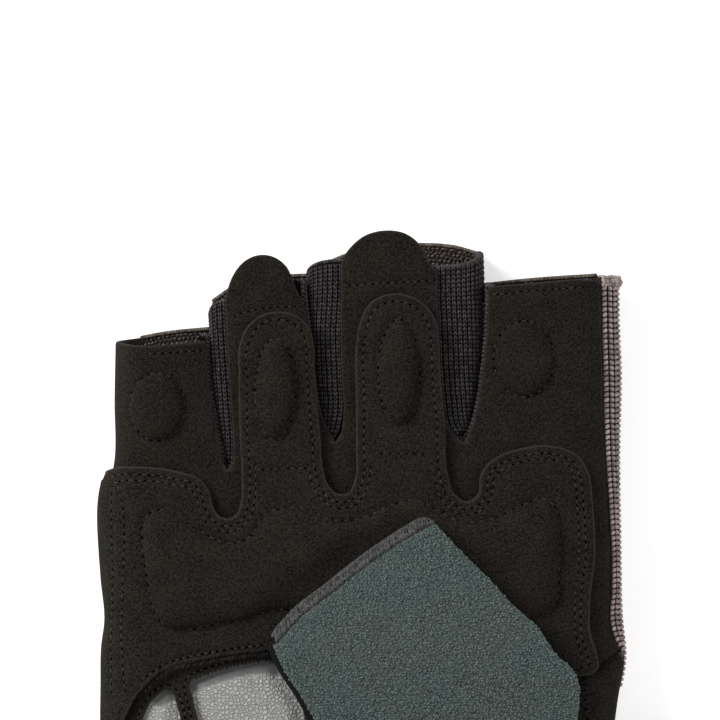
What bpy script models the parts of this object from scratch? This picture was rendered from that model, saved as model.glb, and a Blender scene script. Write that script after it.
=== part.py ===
"""Weightlifting glove for the right hand, lying on its back with the palm up.

Lengths are in millimetres: x runs towards the thumb side, y towards the fingertips, z up from
the surface that the glove rests on. Tables hold shares, in per cent, of the glove's width,
length and height. Each piece of cloth or suede is a sheet between two offsets from the palm
face or from the back face of the glove, over a flat outline.
"""

import math
from collections import namedtuple

import bmesh
import bpy
import numpy as np
from mathutils import Vector
from mathutils.geometry import delaunay_2d_cdt

MM = 0.001

# Sizes of the flattened glove that the tables below are shares of
GLOVE_WIDTH = 104.0
GLOVE_LENGTH = 150.0
BODY_HEIGHT = 17.4

# Thickness of the materials, and the gap kept between neighbouring pieces
SUEDE = 1.2
KNIT = 1.5
GAP = 0.35
INSET = 1.0

# Offsets from the palm face at which the stacked layers start and end
OVERLAY_LOW = 1.4 * GAP
OVERLAY_HIGH = OVERLAY_LOW + SUEDE
PAD_LOW = OVERLAY_HIGH + GAP
PAD_RISE = 2.6
PAD_RISE_UNDER_STRAP = 1.4
PAD_EDGE = 0.5
PAD_ROUNDING = 5.0
FINGER_PAD_RISE = 1.7
HOOK = 0.9
STRAP_BACKING = 1.0
STRAP_LOOP = 1.8
STRAP_LIFT_TIP = PAD_LOW + PAD_RISE_UNDER_STRAP + GAP + HOOK + GAP
STRAP_LIFT_ROOT = GAP
EDGING_HALF_WIDTH = 1.2
EDGING_HALF_HEIGHT = 1.75

# Body of the glove
CROWN_HAND = 2.6
CROWN_FINGER = 1.5
BINDING_LENGTH = 5.5
BINDING_THICKNESS = 2.2
BINDING_PROUD = 0.5

# Thumb: an oval half-length tube sewn into the side
THUMB_HALF_WIDTH = 13.0
THUMB_SIDE_MARGIN = 1.1
THUMB_HALF_HEIGHT = BODY_HEIGHT / 2 - THUMB_SIDE_MARGIN
THUMB_LENGTH = 26.0
THUMB_TILT = math.radians(8)
THUMB_TAPER = 0.14

# Spacing of the points in the meshes, and the rows of points round each side
COARSE = 6.0
FINE = 4.5
ROLL_ROWS = 6
PALM_STEP = 4.6
OVERLAY_STEP = 4.6
BACK_STEP = 5.0
STRIP_STEP = 4.5
STRAP_STEP = 5.0

# Strips between the fingers: half the slit that they fold round, and how far they tuck under the suede
SLIT = 0.3
TUCK = 1.5
SHALLOWEST = 1.6
FRONT_STARTS = 1.0
BACK_STARTS = 1.5
RIM_INSET = 0.6



def across(share):
    """Length from a share of the width of the glove."""
    return share * GLOVE_WIDTH / 100


def along(share):
    """Length from a share of the length of the glove."""
    return share * GLOVE_LENGTH / 100


def seen(rows):
    """Points seen from above, from rows of (x, y) shares."""
    return [(across(x), along(y)) for x, y in rows]


def lengthwise(rows):
    """Rows of (y, x) from their shares."""
    return [(along(y), across(x)) for y, x in rows]


def heights(rows):
    """Rows of (y, height) from their shares."""
    return [(along(y), share * BODY_HEIGHT / 100) for y, share in rows]


# Places along the glove
FINGERS_START = along(12.0)
FINGERS_FULL = along(29.3)
CUFF_Y = along(-50.7)
THUMB_Y = along(-30.7)
SEAM_ENDS_Y = along(-8.7)
PINKY_SIDE_Y = along(34.5)
OVERLAY_LEFT_TOP = along(15.6)
OVERLAY_LEFT_END = along(-20.0)

# Rows are (y, x) of the outline of the hand seen from above
LEFT_SIDE = lengthwise([
    (-54.67, -42.88), (-41.33, -44.62), (-26.67, -48.65), (-16.0, -49.9), (-6.67, -49.62),
    (-4.0, -49.13), (2.67, -50.0), (14.67, -49.9), (18.0, -48.94), (26.67, -48.85), (34.67, -48.65),
    (44.0, -48.46),
])
RIGHT_SIDE = lengthwise([
    (-54.67, 41.35), (-41.33, 42.69), (-30.67, 45.77), (-21.33, 47.88), (-13.33, 49.42), (-8.67, 50.58),
    (-2.67, 49.9), (6.67, 49.62), (20.67, 49.42), (30.67, 49.71), (37.33, 49.33), (44.0, 49.33),
])
# Rows are (y, height) of the flattened body at its sides
SIDE_HEIGHT = heights([
    (-54.67, 83.91), (-40.0, 91.95), (-20.0, 100.0), (6.67, 100.0), (30.0, 95.4), (50.67, 87.36),
])

# A gap between two fingers: the line x at which their knitted sides meet, and how far the
# suede front of the left and of the right finger stops short of it
GapRow = namedtuple("GapRow", "y x left right")
Between = namedtuple("Between", "name crotch_y left_rim_y right_rim_y rows")


def gap_row(y, x, left, right):
    """A row of a gap from its shares of the length (y) and of the width."""
    return GapRow(along(y), across(x), across(left), across(right))


GAPS = [
    Between("fourchette_pinky_ring", along(18.0), along(35.33), along(39.87), [
        gap_row(40.33, -30.38, 0.38, 3.27), gap_row(34.67, -30.0, 0.38, 3.27), gap_row(29.33, -29.71, 0.38, 3.56),
        gap_row(25.33, -28.75, 0.38, 2.98), gap_row(21.33, -27.6, 0.48, 2.21), gap_row(18.0, -26.54, 0.67, 1.15),
    ]),
    Between("fourchette_ring_middle", along(21.73), along(42.67), along(45.33), [
        gap_row(45.67, -10.0, 1.92, 5.38), gap_row(40.0, -9.62, 2.31, 4.9), gap_row(36.0, -8.94, 1.54, 4.13),
        gap_row(29.33, -7.98, 1.44, 3.56), gap_row(25.33, -7.12, 1.35, 2.98), gap_row(21.73, -5.67, 0.77, 1.15),
    ]),
    Between("fourchette_middle_index", along(21.67), along(45.73), along(41.87), [
        gap_row(46.4, 22.88, 8.85, 0.38), gap_row(41.07, 23.27, 9.23, 0.48), gap_row(36.0, 23.08, 8.75, 0.38),
        gap_row(30.67, 22.31, 7.69, 0.38), gap_row(25.33, 21.06, 5.77, 0.38), gap_row(23.33, 20.19, 4.42, 0.48),
        gap_row(21.67, 18.85, 1.54, 0.77),
    ]),
]

# Front rims of the fingers, and the rims of the back that show behind them. Rows are (x, y)
RIM_PINKY = seen([
    (-41.35, 33.93), (-35.58, 34.2), (-30.38, 34.6),
])
TAB_RING = seen([
    (-27.12, 40.0), (-26.35, 41.87), (-25.0, 43.87), (-22.69, 45.47), (-19.71, 46.07), (-17.02, 45.6),
    (-15.1, 44.47), (-14.04, 43.07), (-13.08, 41.33), (-11.92, 40.0),
])
TAB_MIDDLE = seen([
    (-4.62, 44.93), (-3.85, 46.13), (-2.31, 47.47), (-0.19, 48.6), (4.04, 49.33), (7.5, 49.0),
    (9.81, 48.0), (11.35, 46.67), (12.31, 45.2), (14.04, 43.73),
])
RIM_INDEX = seen([
    (24.04, 41.87), (34.04, 42.4), (41.35, 42.8), (44.42, 42.67),
])
BACK_RIM_PINKY = seen([
    (-44.23, 35.07), (-38.46, 35.73), (-30.67, 36.27),
])
BACK_RIM_RING = seen([
    (-29.81, 40.13), (-25.0, 42.27), (-19.23, 43.2), (-10.58, 43.6),
])
BACK_RIM_MIDDLE = seen([
    (-9.42, 44.53), (-3.85, 46.27), (3.85, 47.47), (11.54, 47.73), (17.31, 47.47), (22.31, 46.53),
])
BACK_RIM_INDEX = seen([
    (23.85, 42.27), (32.69, 42.93), (40.38, 43.33), (46.15, 43.53),
])

# Seam between the suede and the knit on the index side, rows are (x, y)
INDEX_SEAM = seen([
    (45.38, 42.13), (45.58, 34.0), (46.15, 20.67), (46.92, 12.67), (47.5, 6.0), (47.5, 1.07),
    (47.12, -2.93), (48.27, -5.6), (49.62, -7.07),
])

OVERLAY_LEFT = seen([
    (-48.65, 16.93), (-46.73, 17.53), (-44.23, 17.73), (-40.38, 17.73), (-35.77, 17.2), (-32.69, 16.67),
])
OVERLAY = seen([
    (-32.69, 16.67), (-30.77, 15.6), (-29.62, 14.27), (-29.04, 12.53), (-27.88, 11.33), (-25.96, 10.93),
    (-24.42, 11.6), (-23.65, 13.33), (-23.46, 16.67), (-23.85, 22.67), (-24.04, 29.33), (-23.85, 34.13),
    (-22.31, 36.53), (-20.0, 37.87), (-16.73, 38.4), (-13.46, 37.87), (-10.96, 36.13), (-10.19, 34.0),
    (-10.0, 30.67), (-9.52, 26.67), (-8.65, 21.33), (-8.08, 17.6), (-6.92, 15.2), (-5.0, 14.13),
    (-3.27, 14.27), (-1.92, 16.0), (-1.63, 20.0), (-1.54, 26.67), (-1.54, 34.13), (-0.77, 37.07),
    (1.15, 39.6), (5.38, 40.8), (8.85, 40.4), (11.73, 39.07), (13.65, 36.93), (14.13, 34.0),
    (14.42, 29.33), (15.19, 23.33), (15.77, 16.67), (16.92, 14.27), (19.42, 13.2), (21.54, 14.13),
    (21.92, 16.27), (23.08, 17.87), (25.96, 19.33), (29.81, 20.27), (35.0, 20.67), (38.65, 20.13),
    (41.15, 19.07), (42.5, 17.07), (43.27, 12.67), (43.65, 6.67), (42.88, 0.0), (42.88, -4.0),
    (44.04, -7.33), (44.23, -9.07), (42.88, -9.87), (40.96, -10.0),
])
OVERLAY_LOWER = seen([
    (40.96, -10.0), (19.23, -8.67), (0.0, -7.07), (-17.69, -6.4), (-28.85, -7.47), (-39.42, -9.6),
])
OVERLAY_HEEL = seen([
    (-39.42, -9.6), (-42.88, -12.0), (-45.77, -16.0), (-48.85, -20.0),
])

PALM_PAD = seen([
    (-42.31, 10.67), (-40.77, 11.87), (-37.88, 12.0), (-35.38, 11.2), (-32.12, 9.73), (-29.81, 8.53),
    (-27.31, 7.8), (-24.62, 7.67), (-22.31, 8.27), (-20.58, 9.73), (-18.85, 11.47), (-15.0, 12.27),
    (-11.15, 12.27), (-8.27, 11.27), (-5.38, 10.67), (-2.31, 10.73), (1.35, 11.47), (5.19, 12.8),
    (10.38, 13.2), (13.85, 11.93), (18.46, 10.53), (23.08, 10.67), (27.31, 11.73), (31.54, 13.13),
    (34.23, 13.6), (36.15, 12.67), (36.92, 10.53), (37.02, 4.0), (36.35, -0.53), (34.62, -1.87),
    (31.73, -2.53), (9.62, -2.4), (-5.77, -1.87), (-17.69, -1.2), (-23.08, -2.4), (-28.46, -3.07),
    (-33.65, -3.73), (-37.5, -3.6), (-39.81, -2.27), (-41.15, 1.07), (-42.12, 4.8), (-42.5, 8.0),
])

# Stitched windows near the heel, and the flat ends of the pale insets below them
WINDOW_OUTER = seen([
    (-37.88, -11.93), (-39.81, -12.67), (-41.73, -14.13), (-43.08, -16.13), (-43.85, -19.33),
    (-42.88, -23.07), (-39.81, -24.93), (-36.54, -23.73), (-35.19, -20.0), (-35.48, -16.0),
    (-36.35, -13.73), (-37.21, -12.2),
])
WINDOW_INNER = seen([
    (-33.65, -10.93), (-33.08, -13.6), (-31.92, -16.67), (-31.35, -20.67), (-28.85, -24.27),
    (-23.08, -25.73), (-16.35, -24.93), (-12.31, -20.67), (-11.54, -16.4), (-12.31, -13.73),
    (-14.81, -10.93), (-17.88, -8.13), (-21.15, -8.13), (-25.96, -8.8), (-30.19, -9.73),
])
INSET_MARGIN = 1.4
INSET_BULGE = 1.3

# The strap seen from above: its end, its thumb side and its little-finger side. Rows are (x, y)
STRAP_END = seen([
    (-17.88, -4.27), (-12.69, -0.27), (-7.69, 2.4), (-3.27, 4.93), (1.35, 7.33), (6.15, 9.6),
    (10.0, 11.2),
])
STRAP_RIGHT = seen([
    (10.0, 11.2), (12.31, 10.67), (15.58, 8.4), (19.04, 5.87), (23.27, 2.93), (27.31, -0.13),
    (32.31, -3.33), (36.15, -7.07), (38.65, -8.53), (40.0, -10.0), (40.48, -12.0), (40.19, -16.0),
    (39.42, -24.0), (37.69, -33.33), (35.19, -44.0),
])
STRAP_ROOT = seen([
    (35.19, -44.0), (23.08, -45.6), (8.65, -44.0),
])
STRAP_LEFT = seen([
    (8.65, -44.0), (2.88, -34.67), (-4.42, -24.0), (-9.23, -15.73), (-11.54, -12.67), (-14.81, -9.07),
    (-17.88, -4.27),
])
STRAP_BACKING_WIDER = 1.4
STRAP_SINKS_FROM = along(-4.7)
STRAP_SINKS_TO = along(-28.0)
HOOK_PATCH = seen([
    (-10.19, -3.6), (-1.54, 2.4), (8.08, 7.73), (19.62, -1.07), (8.08, -7.6), (0.96, -11.33),
])

# Oval pads on the finger fronts
FingerPad = namedtuple("FingerPad", "name x y half_x half_y low")
FINGER_PADS = [
    FingerPad("finger_pad_pinky", across(-40.0), along(25.73), across(5.38), along(4.53), GAP),
    FingerPad("finger_pad_ring", across(-17.21), along(28.07), across(3.75), along(6.73), PAD_LOW),
    FingerPad("finger_pad_middle", across(6.54), along(30.27), across(3.85), along(7.07), PAD_LOW),
    FingerPad("finger_pad_index", across(30.58), along(32.13), across(5.77), along(5.07), GAP),
]


class Curve:
    """A smooth value through a table of (position, value) rows."""

    def __init__(self, rows):
        rows = sorted(rows)
        self.at = np.array([row[0] for row in rows], float)
        self.value = np.array([row[1] for row in rows], float)
        self.slope = np.gradient(self.value, self.at)

    def __call__(self, at):
        at = np.clip(at, self.at[0], self.at[-1])
        i = np.clip(np.searchsorted(self.at, at) - 1, 0, len(self.at) - 2)
        span = self.at[i + 1] - self.at[i]
        t = (at - self.at[i]) / span
        start = (2 * t**3 - 3 * t**2 + 1) * self.value[i] + (t**3 - 2 * t**2 + t) * span * self.slope[i]
        end = (3 * t**2 - 2 * t**3) * self.value[i + 1] + (t**3 - t**2) * span * self.slope[i + 1]
        return start + end


left_side = Curve(LEFT_SIDE)
right_side = Curve(RIGHT_SIDE)
side_height = Curve(SIDE_HEIGHT)
meeting_lines = [Curve([(row.y, row.x) for row in gap.rows]) for gap in GAPS]


def smoothstep(low, high, value):
    t = np.clip((value - low) / (high - low), 0.0, 1.0)
    return t * t * (3 - 2 * t)


def palm_height(x, y):
    """Height of the palm face over the table where the sides haven't rolled away yet."""
    low, high = left_side(y), right_side(y)
    middle = np.clip((2 * x - low - high) / (high - low), -1, 1)
    hand = CROWN_HAND * (1 - middle**2) ** 2
    edges = [low, *(line(y) for line in meeting_lines), high]
    finger = np.zeros_like(hand)
    for a, b in zip(edges, edges[1:]):
        within = np.clip((2 * x - a - b) / (b - a), -1, 1)
        finger = np.maximum(finger, CROWN_FINGER * (1 - within**2))
    part = smoothstep(FINGERS_START, FINGERS_FULL, y)
    return side_height(y) + (1 - part) * hand + part * finger


def side_angles(u, y):
    """How far the flat coordinate u has turned round the left and the right side, in radians."""
    radius = side_height(y) / 2
    low, high = left_side(y) + radius, right_side(y) - radius
    left = np.clip((low - u) / radius, 0, None)
    right = np.clip((u - high) / radius, 0, None)
    return radius, np.clip(u, low, high), left, right


def palm_face(u, y):
    """The palm face at the flat coordinates u, y: it rolls down over both sides."""
    radius, flat_x, left, right = side_angles(u, y)
    x = flat_x + radius * (np.sin(right) - np.sin(left))
    z = palm_height(x, y) - radius * (2 - np.cos(left) - np.cos(right))
    return np.stack([x, y, z], -1)


def back_face(u, y):
    """The back face at the flat coordinates u, y: flat below, and rolling up both sides."""
    radius, flat_x, left, right = side_angles(u, y)
    x = flat_x + radius * (np.sin(right) - np.sin(left))
    return np.stack([x, y, radius * (2 - np.cos(left) - np.cos(right))], -1)


def offset_points(face, outward, u, y, offset):
    """Points of a face moved along its normal; outward is 1 for the palm and -1 for the back."""
    step = 0.05
    along = face(u + step, y) - face(u - step, y)
    up = face(u, y + step) - face(u, y - step)
    normal = outward * np.cross(along, up)
    normal /= np.linalg.norm(normal, axis=-1, keepdims=True)
    return face(u, y) + normal * np.asarray(offset)[..., None]


def flat_from_seen(points):
    """Flat coordinates of points given as seen from above, (x, y), on the palm face."""
    x, y = np.array(points, float).T
    radius = side_height(y) / 2
    low, high = left_side(y) + radius, right_side(y) - radius
    left = np.arcsin(np.clip((low - x) / radius, 0, 1))
    right = np.arcsin(np.clip((x - high) / radius, 0, 1))
    return np.stack([np.clip(x, low, high) + radius * (right - left), y], -1)


def smooth_run(points, step):
    """Evenly spaced points on a smooth curve through the given ones, with both ends."""
    points = np.array(points, float)
    reach = np.concatenate([[0], np.cumsum(np.linalg.norm(np.diff(points, axis=0), axis=1))])
    if len(points) == 2:
        dense = points
    else:
        fine = np.linspace(0, reach[-1], 40 * len(points))
        dense = np.stack([Curve(list(zip(reach, column)))(fine) for column in points.T], -1)
    length = np.concatenate([[0], np.cumsum(np.linalg.norm(np.diff(dense, axis=0), axis=1))])
    count = max(2, int(round(length[-1] / step)) + 1)
    wanted = np.linspace(0, length[-1], count)
    return np.stack([np.interp(wanted, length, column) for column in dense.T], -1)


def smooth_loop(points, step):
    """Evenly spaced points on a closed smooth curve, without repeating the first one."""
    points = [tuple(point) for point in points]
    wrapped = points[-3:] + points + points[:4]
    run = smooth_run(wrapped, step / 6)
    start = int(np.argmin(np.linalg.norm(run[: len(run) // 2] - points[0], axis=1)))
    end = len(run) // 2 + int(np.argmin(np.linalg.norm(run[len(run) // 2 :] - points[0], axis=1)))
    return smooth_run(run[start : end + 1], step)[:-1]


def joined(*runs):
    """One closed outline from runs that follow one another."""
    kept = []
    for run in runs:
        for point in run:
            if not kept or np.linalg.norm(np.subtract(point, kept[-1])) > 0.3:
                kept.append(tuple(point))
    if np.linalg.norm(np.subtract(kept[0], kept[-1])) < 0.3:
        kept.pop()
    return np.array(kept)


def inside(points, loop):
    """Which of the points lie inside a closed loop."""
    x, y = points[:, 0, None], points[:, 1, None]
    x0, y0 = loop.T
    x1, y1 = np.roll(loop, -1, axis=0).T
    crosses = (y0 <= y) != (y1 <= y)
    rise = np.where(y1 == y0, 1, y1 - y0)
    return (crosses & (x < x0 + (y - y0) * (x1 - x0) / rise)).sum(axis=1) % 2 == 1


def distance_to(points, loop):
    """Distance from each point to a closed loop."""
    start, end = loop, np.roll(loop, -1, axis=0)
    along = end - start
    offset = points[:, None] - start
    t = np.clip((offset * along).sum(-1) / (along**2).sum(-1), 0, 1)
    return np.linalg.norm(offset - t[..., None] * along, axis=-1).min(axis=1)


def roll_rows(low, high, spacing):
    """Points in rows along both sides, close enough together for the bend there."""
    rows = []
    for y in np.arange(low + spacing / 2, high, spacing):
        radius = float(side_height(y)) / 2
        for part in range(ROLL_ROWS):
            inward = radius * (1 - math.pi / 2 * part / (ROLL_ROWS - 1))
            rows.append((float(left_side(y)) + inward, y))
            rows.append((float(right_side(y)) - inward, y))
            if 0 < part < ROLL_ROWS - 1:
                turn = math.pi / 2 * (1 + part / (ROLL_ROWS - 1))
                rows.append((float(right_side(y)) + radius * (turn - 1), y))
    return np.array(rows)


def fill(outline, holes, spacing):
    """Points and triangles over an outline with holes."""
    loops = [outline, *holes]
    low, high = outline.min(axis=0), outline.max(axis=0)
    rows = []
    for j, y in enumerate(np.arange(low[1], high[1], spacing * 0.87)):
        for x in np.arange(low[0] + spacing * 0.5 * (j % 2), high[0], spacing):
            rows.append((x, y))
    grid = np.array(rows)
    rolled = roll_rows(low[1], high[1], spacing)
    grid = grid[np.linalg.norm(grid[:, None] - rolled, axis=-1).min(axis=1) > 0.6 * spacing]
    rolled = rolled[inside(rolled, outline) & (distance_to(rolled, outline) > 0.3 * spacing)]
    keep = inside(grid, outline) & (distance_to(grid, outline) > 0.55 * spacing)
    for hole in holes:
        keep &= ~inside(grid, hole) & (distance_to(grid, hole) > 0.55 * spacing)
    points = np.concatenate([*loops, grid[keep], rolled])
    edges, first = [], 0
    for loop in loops:
        count = len(loop)
        edges += [(first + i, first + (i + 1) % count) for i in range(count)]
        first += count
    found = delaunay_2d_cdt([Vector(point) for point in points], edges, [], 0, 1e-6)
    points = np.array([tuple(point) for point in found[0]])
    triangles = np.array(found[2])
    middles = points[triangles].mean(axis=1)
    keep = inside(middles, outline)
    for hole in holes:
        keep &= ~inside(middles, hole)
    return points, triangles[keep]


def add_solid(name, points, faces):
    """A closed mesh object in metres, with its faces turned outwards."""
    mesh = bpy.data.meshes.new(name)
    mesh.from_pydata([tuple(MM * value for value in point) for point in points], [], faces)
    work = bmesh.new()
    work.from_mesh(mesh)
    bmesh.ops.recalc_face_normals(work, faces=work.faces)
    work.to_mesh(mesh)
    work.free()
    obj = bpy.data.objects.new(name, mesh)
    bpy.context.scene.collection.objects.link(obj)
    return obj


def panel(name, face, outward, outline, low, high, spacing, holes=()):
    """A sheet between the offsets low and high from a face, each a number or a function."""
    flat, triangles = fill(outline, holes, spacing)
    u, y = flat.T
    offsets = [level(u, y) if callable(level) else np.full(len(u), level) for level in (low, high)]
    bottom, top = (offset_points(face, outward, u, y, offset) for offset in offsets)
    count = len(flat)
    faces = [tuple(map(int, t + count)) for t in triangles]
    faces += [tuple(map(int, t[::-1])) for t in triangles]
    ends = np.concatenate([triangles[:, [0, 1]], triangles[:, [1, 2]], triangles[:, [2, 0]]])
    once = {(int(a), int(b)) for a, b in ends}
    for a, b in sorted(once):
        if (b, a) not in once:
            faces.append((a, b, b + count, a + count))
    return add_solid(name, np.concatenate([bottom, top]), faces)


def grid_solid(name, outer, inner, closed=False):
    """A solid between two grids of points; a closed one joins its last row to its first."""
    rows, columns = outer.shape[:2]
    count = rows * columns
    faces = []

    def corner(i, j):
        return (i % rows) * columns + j

    for i in range(rows if closed else rows - 1):
        for j in range(columns - 1):
            quad = (corner(i, j), corner(i + 1, j), corner(i + 1, j + 1), corner(i, j + 1))
            faces.append(quad)
            faces.append(tuple(count + k for k in reversed(quad)))
        for j in (0, columns - 1):
            a, b = corner(i, j), corner(i + 1, j)
            faces.append((a, b, count + b, count + a))
    if not closed:
        for i in (0, rows - 1):
            for j in range(columns - 1):
                a, b = corner(i, j), corner(i, j + 1)
                faces.append((a, b, count + b, count + a))
    return add_solid(name, np.concatenate([outer.reshape(-1, 3), inner.reshape(-1, 3)]), faces)


def side_edge(y, sign, turn=math.pi / 2):
    """Flat coordinates along a side, where the sheet has turned by this angle less the gap."""
    radius = side_height(y) / 2
    reach = radius * (turn - 1) - GAP / 2
    side = left_side(y) if sign < 0 else right_side(y)
    return np.stack([side + sign * reach, y], -1)


def y_run(start, end, step):
    return np.linspace(start, end, max(2, int(round(abs(end - start) / step)) + 1))


def thumb_angles(count):
    return np.linspace(0, math.pi, count)


def thumb_notch(count):
    """The half oval cut from the edge of the palm and of the back for the thumb, from the top."""
    points = []
    for angle in thumb_angles(count):
        y = THUMB_Y + THUMB_HALF_WIDTH * math.cos(angle)
        radius = float(side_height(y)) / 2
        turn = math.acos(THUMB_HALF_HEIGHT * math.sin(angle) / radius)
        side = float(right_side(y))
        x = side - radius * (1 - math.sin(turn))
        points.append((side - radius * (1 - turn), y + math.tan(THUMB_TILT) * (x - side)))
    points[0] = (points[0][0] - GAP / 2, points[0][1])
    points[-1] = (points[-1][0] - GAP / 2, points[-1][1])
    return points


def finger_edge(gap, side, y):
    """Edge of the suede front of the finger on one side of a gap."""
    line = Curve([(row.y, row.x - row.left if side < 0 else row.x + row.right) for row in gap.rows])
    return np.stack([line(y), y], -1)


def palm_outline(step):
    """Outline of the suede palm with its four finger fronts and the two pull tabs."""
    rims = [RIM_PINKY, TAB_RING, TAB_MIDDLE, RIM_INDEX]
    runs = [side_edge(y_run(CUFF_Y, PINKY_SIDE_Y, step), -1)]
    runs.append(smooth_run([tuple(side_edge(np.array(PINKY_SIDE_Y), -1)), *RIM_PINKY], step))
    for gap, line, before, rim in zip(GAPS, meeting_lines, rims, rims[1:]):
        end = gap.crotch_y
        runs.append(finger_edge(gap, -1, y_run(before[-1][1] - RIM_INSET, end + FRONT_STARTS, step)))
        runs.append([(float(line(end)), end - FRONT_STARTS)])
        runs.append(finger_edge(gap, 1, y_run(end + FRONT_STARTS, rim[0][1] - RIM_INSET, step)))
        runs.append(flat_from_seen(smooth_run(rim, step * 0.8)))
    runs.append(flat_from_seen(smooth_run(INDEX_SEAM, step)))
    runs.append(side_edge(y_run(SEAM_ENDS_Y, THUMB_Y + THUMB_HALF_WIDTH + 2, step), 1))
    runs.append(thumb_notch(13))
    runs.append(side_edge(y_run(THUMB_Y - THUMB_HALF_WIDTH - 2, CUFF_Y, step), 1))
    start = float(side_edge(np.array(CUFF_Y), 1)[0])
    end = float(side_edge(np.array(CUFF_Y), -1)[0])
    runs.append(smooth_run([(start, CUFF_Y), (end, CUFF_Y)], step))
    return joined(*runs)


def seam_on_back(points):
    """Flat coordinates on the back face of the seam, which it reaches by rolling over the side."""
    x, y = np.array(points, float).T
    radius = side_height(y) / 2
    high = right_side(y) - radius
    turn = math.pi - np.arcsin(np.clip((x - high) / radius, 0, 1))
    return np.stack([high + radius * turn - GAP, y], -1)


def back_outline(step):
    """Outline of the knitted back with its four finger backs, up to the seam on the index side."""
    runs = [side_edge(y_run(CUFF_Y, PINKY_SIDE_Y, step), -1)]
    runs.append(smooth_run([tuple(side_edge(np.array(PINKY_SIDE_Y), -1)), *BACK_RIM_PINKY], step))
    rims = [BACK_RIM_PINKY, BACK_RIM_RING, BACK_RIM_MIDDLE, BACK_RIM_INDEX]
    for gap, line, before, rim in zip(GAPS, meeting_lines, rims, rims[1:]):
        down = y_run(before[-1][1] - RIM_INSET, gap.crotch_y + BACK_STARTS, step)
        up = y_run(gap.crotch_y + BACK_STARTS, rim[0][1] - RIM_INSET, step)
        runs.append(np.stack([line(down) - 2 * SLIT, down], -1))
        runs.append([(float(line(gap.crotch_y)), gap.crotch_y)])
        runs.append(np.stack([line(up) + 2 * SLIT, up], -1))
        runs.append(smooth_run(rim, step))
    rim_end, seam_start = BACK_RIM_INDEX[-1], tuple(seam_on_back(INDEX_SEAM[:1])[0])
    between = (0.6 * rim_end[0] + 0.4 * seam_start[0], 0.5 * (rim_end[1] + seam_start[1]))
    runs.append(smooth_run([rim_end, between, seam_start], step))
    runs.append(seam_on_back(smooth_run(INDEX_SEAM, step)))
    runs.append(side_edge(y_run(SEAM_ENDS_Y, THUMB_Y + THUMB_HALF_WIDTH + 2, step), 1))
    runs.append(thumb_notch(13))
    runs.append(side_edge(y_run(THUMB_Y - THUMB_HALF_WIDTH - 2, CUFF_Y, step), 1))
    start = float(side_edge(np.array(CUFF_Y), 1)[0])
    end = float(side_edge(np.array(CUFF_Y), -1)[0])
    runs.append(smooth_run([(start, CUFF_Y), (end, CUFF_Y)], step))
    return joined(*runs)


def overlay_outline(step):
    left = side_edge(y_run(OVERLAY_LEFT_END, OVERLAY_LEFT_TOP, step), -1, 1.35)
    top = flat_from_seen(smooth_run(OVERLAY_LEFT, step * 0.7))
    around = flat_from_seen(smooth_run(OVERLAY, step * 0.55))
    lower = smooth_run(OVERLAY_LOWER, step)
    heel = flat_from_seen(smooth_run(OVERLAY_HEEL, step))
    return joined(left, top, around, lower, heel)


def strap_outline(step, end_inset, left_wider=0.0):
    """Outline of a strap layer; its end is set back by end_inset for the edging."""
    end = smooth_run(STRAP_END, step)
    direction = np.array(STRAP_END[-1]) - np.array(STRAP_END[0])
    direction /= np.linalg.norm(direction)
    back = end_inset * np.array([direction[1], -direction[0]])
    left = smooth_run(STRAP_LEFT, step) - [left_wider, 0]
    right = smooth_run(STRAP_RIGHT, step)
    right = right[np.dot(right - end[-1], back) > end_inset**2 * 1.05]
    left = left[np.dot(left - end[0], back) > end_inset**2 * 1.05]
    return joined(end + back, right, smooth_run(STRAP_ROOT, step), left)


def strap_lift(u, y):
    """Offset of the underside of the strap: it lies on the pad at its end and sinks behind it."""
    part = smoothstep(STRAP_SINKS_TO, STRAP_SINKS_FROM, y)
    return STRAP_LIFT_ROOT + (STRAP_LIFT_TIP - STRAP_LIFT_ROOT) * part


def rounded_rise(loop, rise, edge, rounding):
    """Rise of a padded piece: a low edge and a rounded shoulder up to its full rise."""

    def level(u, y):
        t = np.clip(distance_to(np.stack([u, y], -1), loop) / rounding, 0, 1)
        return edge + (rise(u, y) - edge) * np.sqrt(1 - (1 - t) ** 2)

    return level


def pad_rise(u, y):
    """The palm pad is pressed flatter under the strap."""
    loop = smooth_loop(STRAP_END + STRAP_RIGHT[1:12] + STRAP_LEFT[3:-1], 3.0)
    points = np.stack([u, y], -1)
    away = np.where(inside(points, loop), 0.0, distance_to(points, loop))
    return PAD_RISE_UNDER_STRAP + (PAD_RISE - PAD_RISE_UNDER_STRAP) * smoothstep(1.5, 8.0, away)


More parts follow.
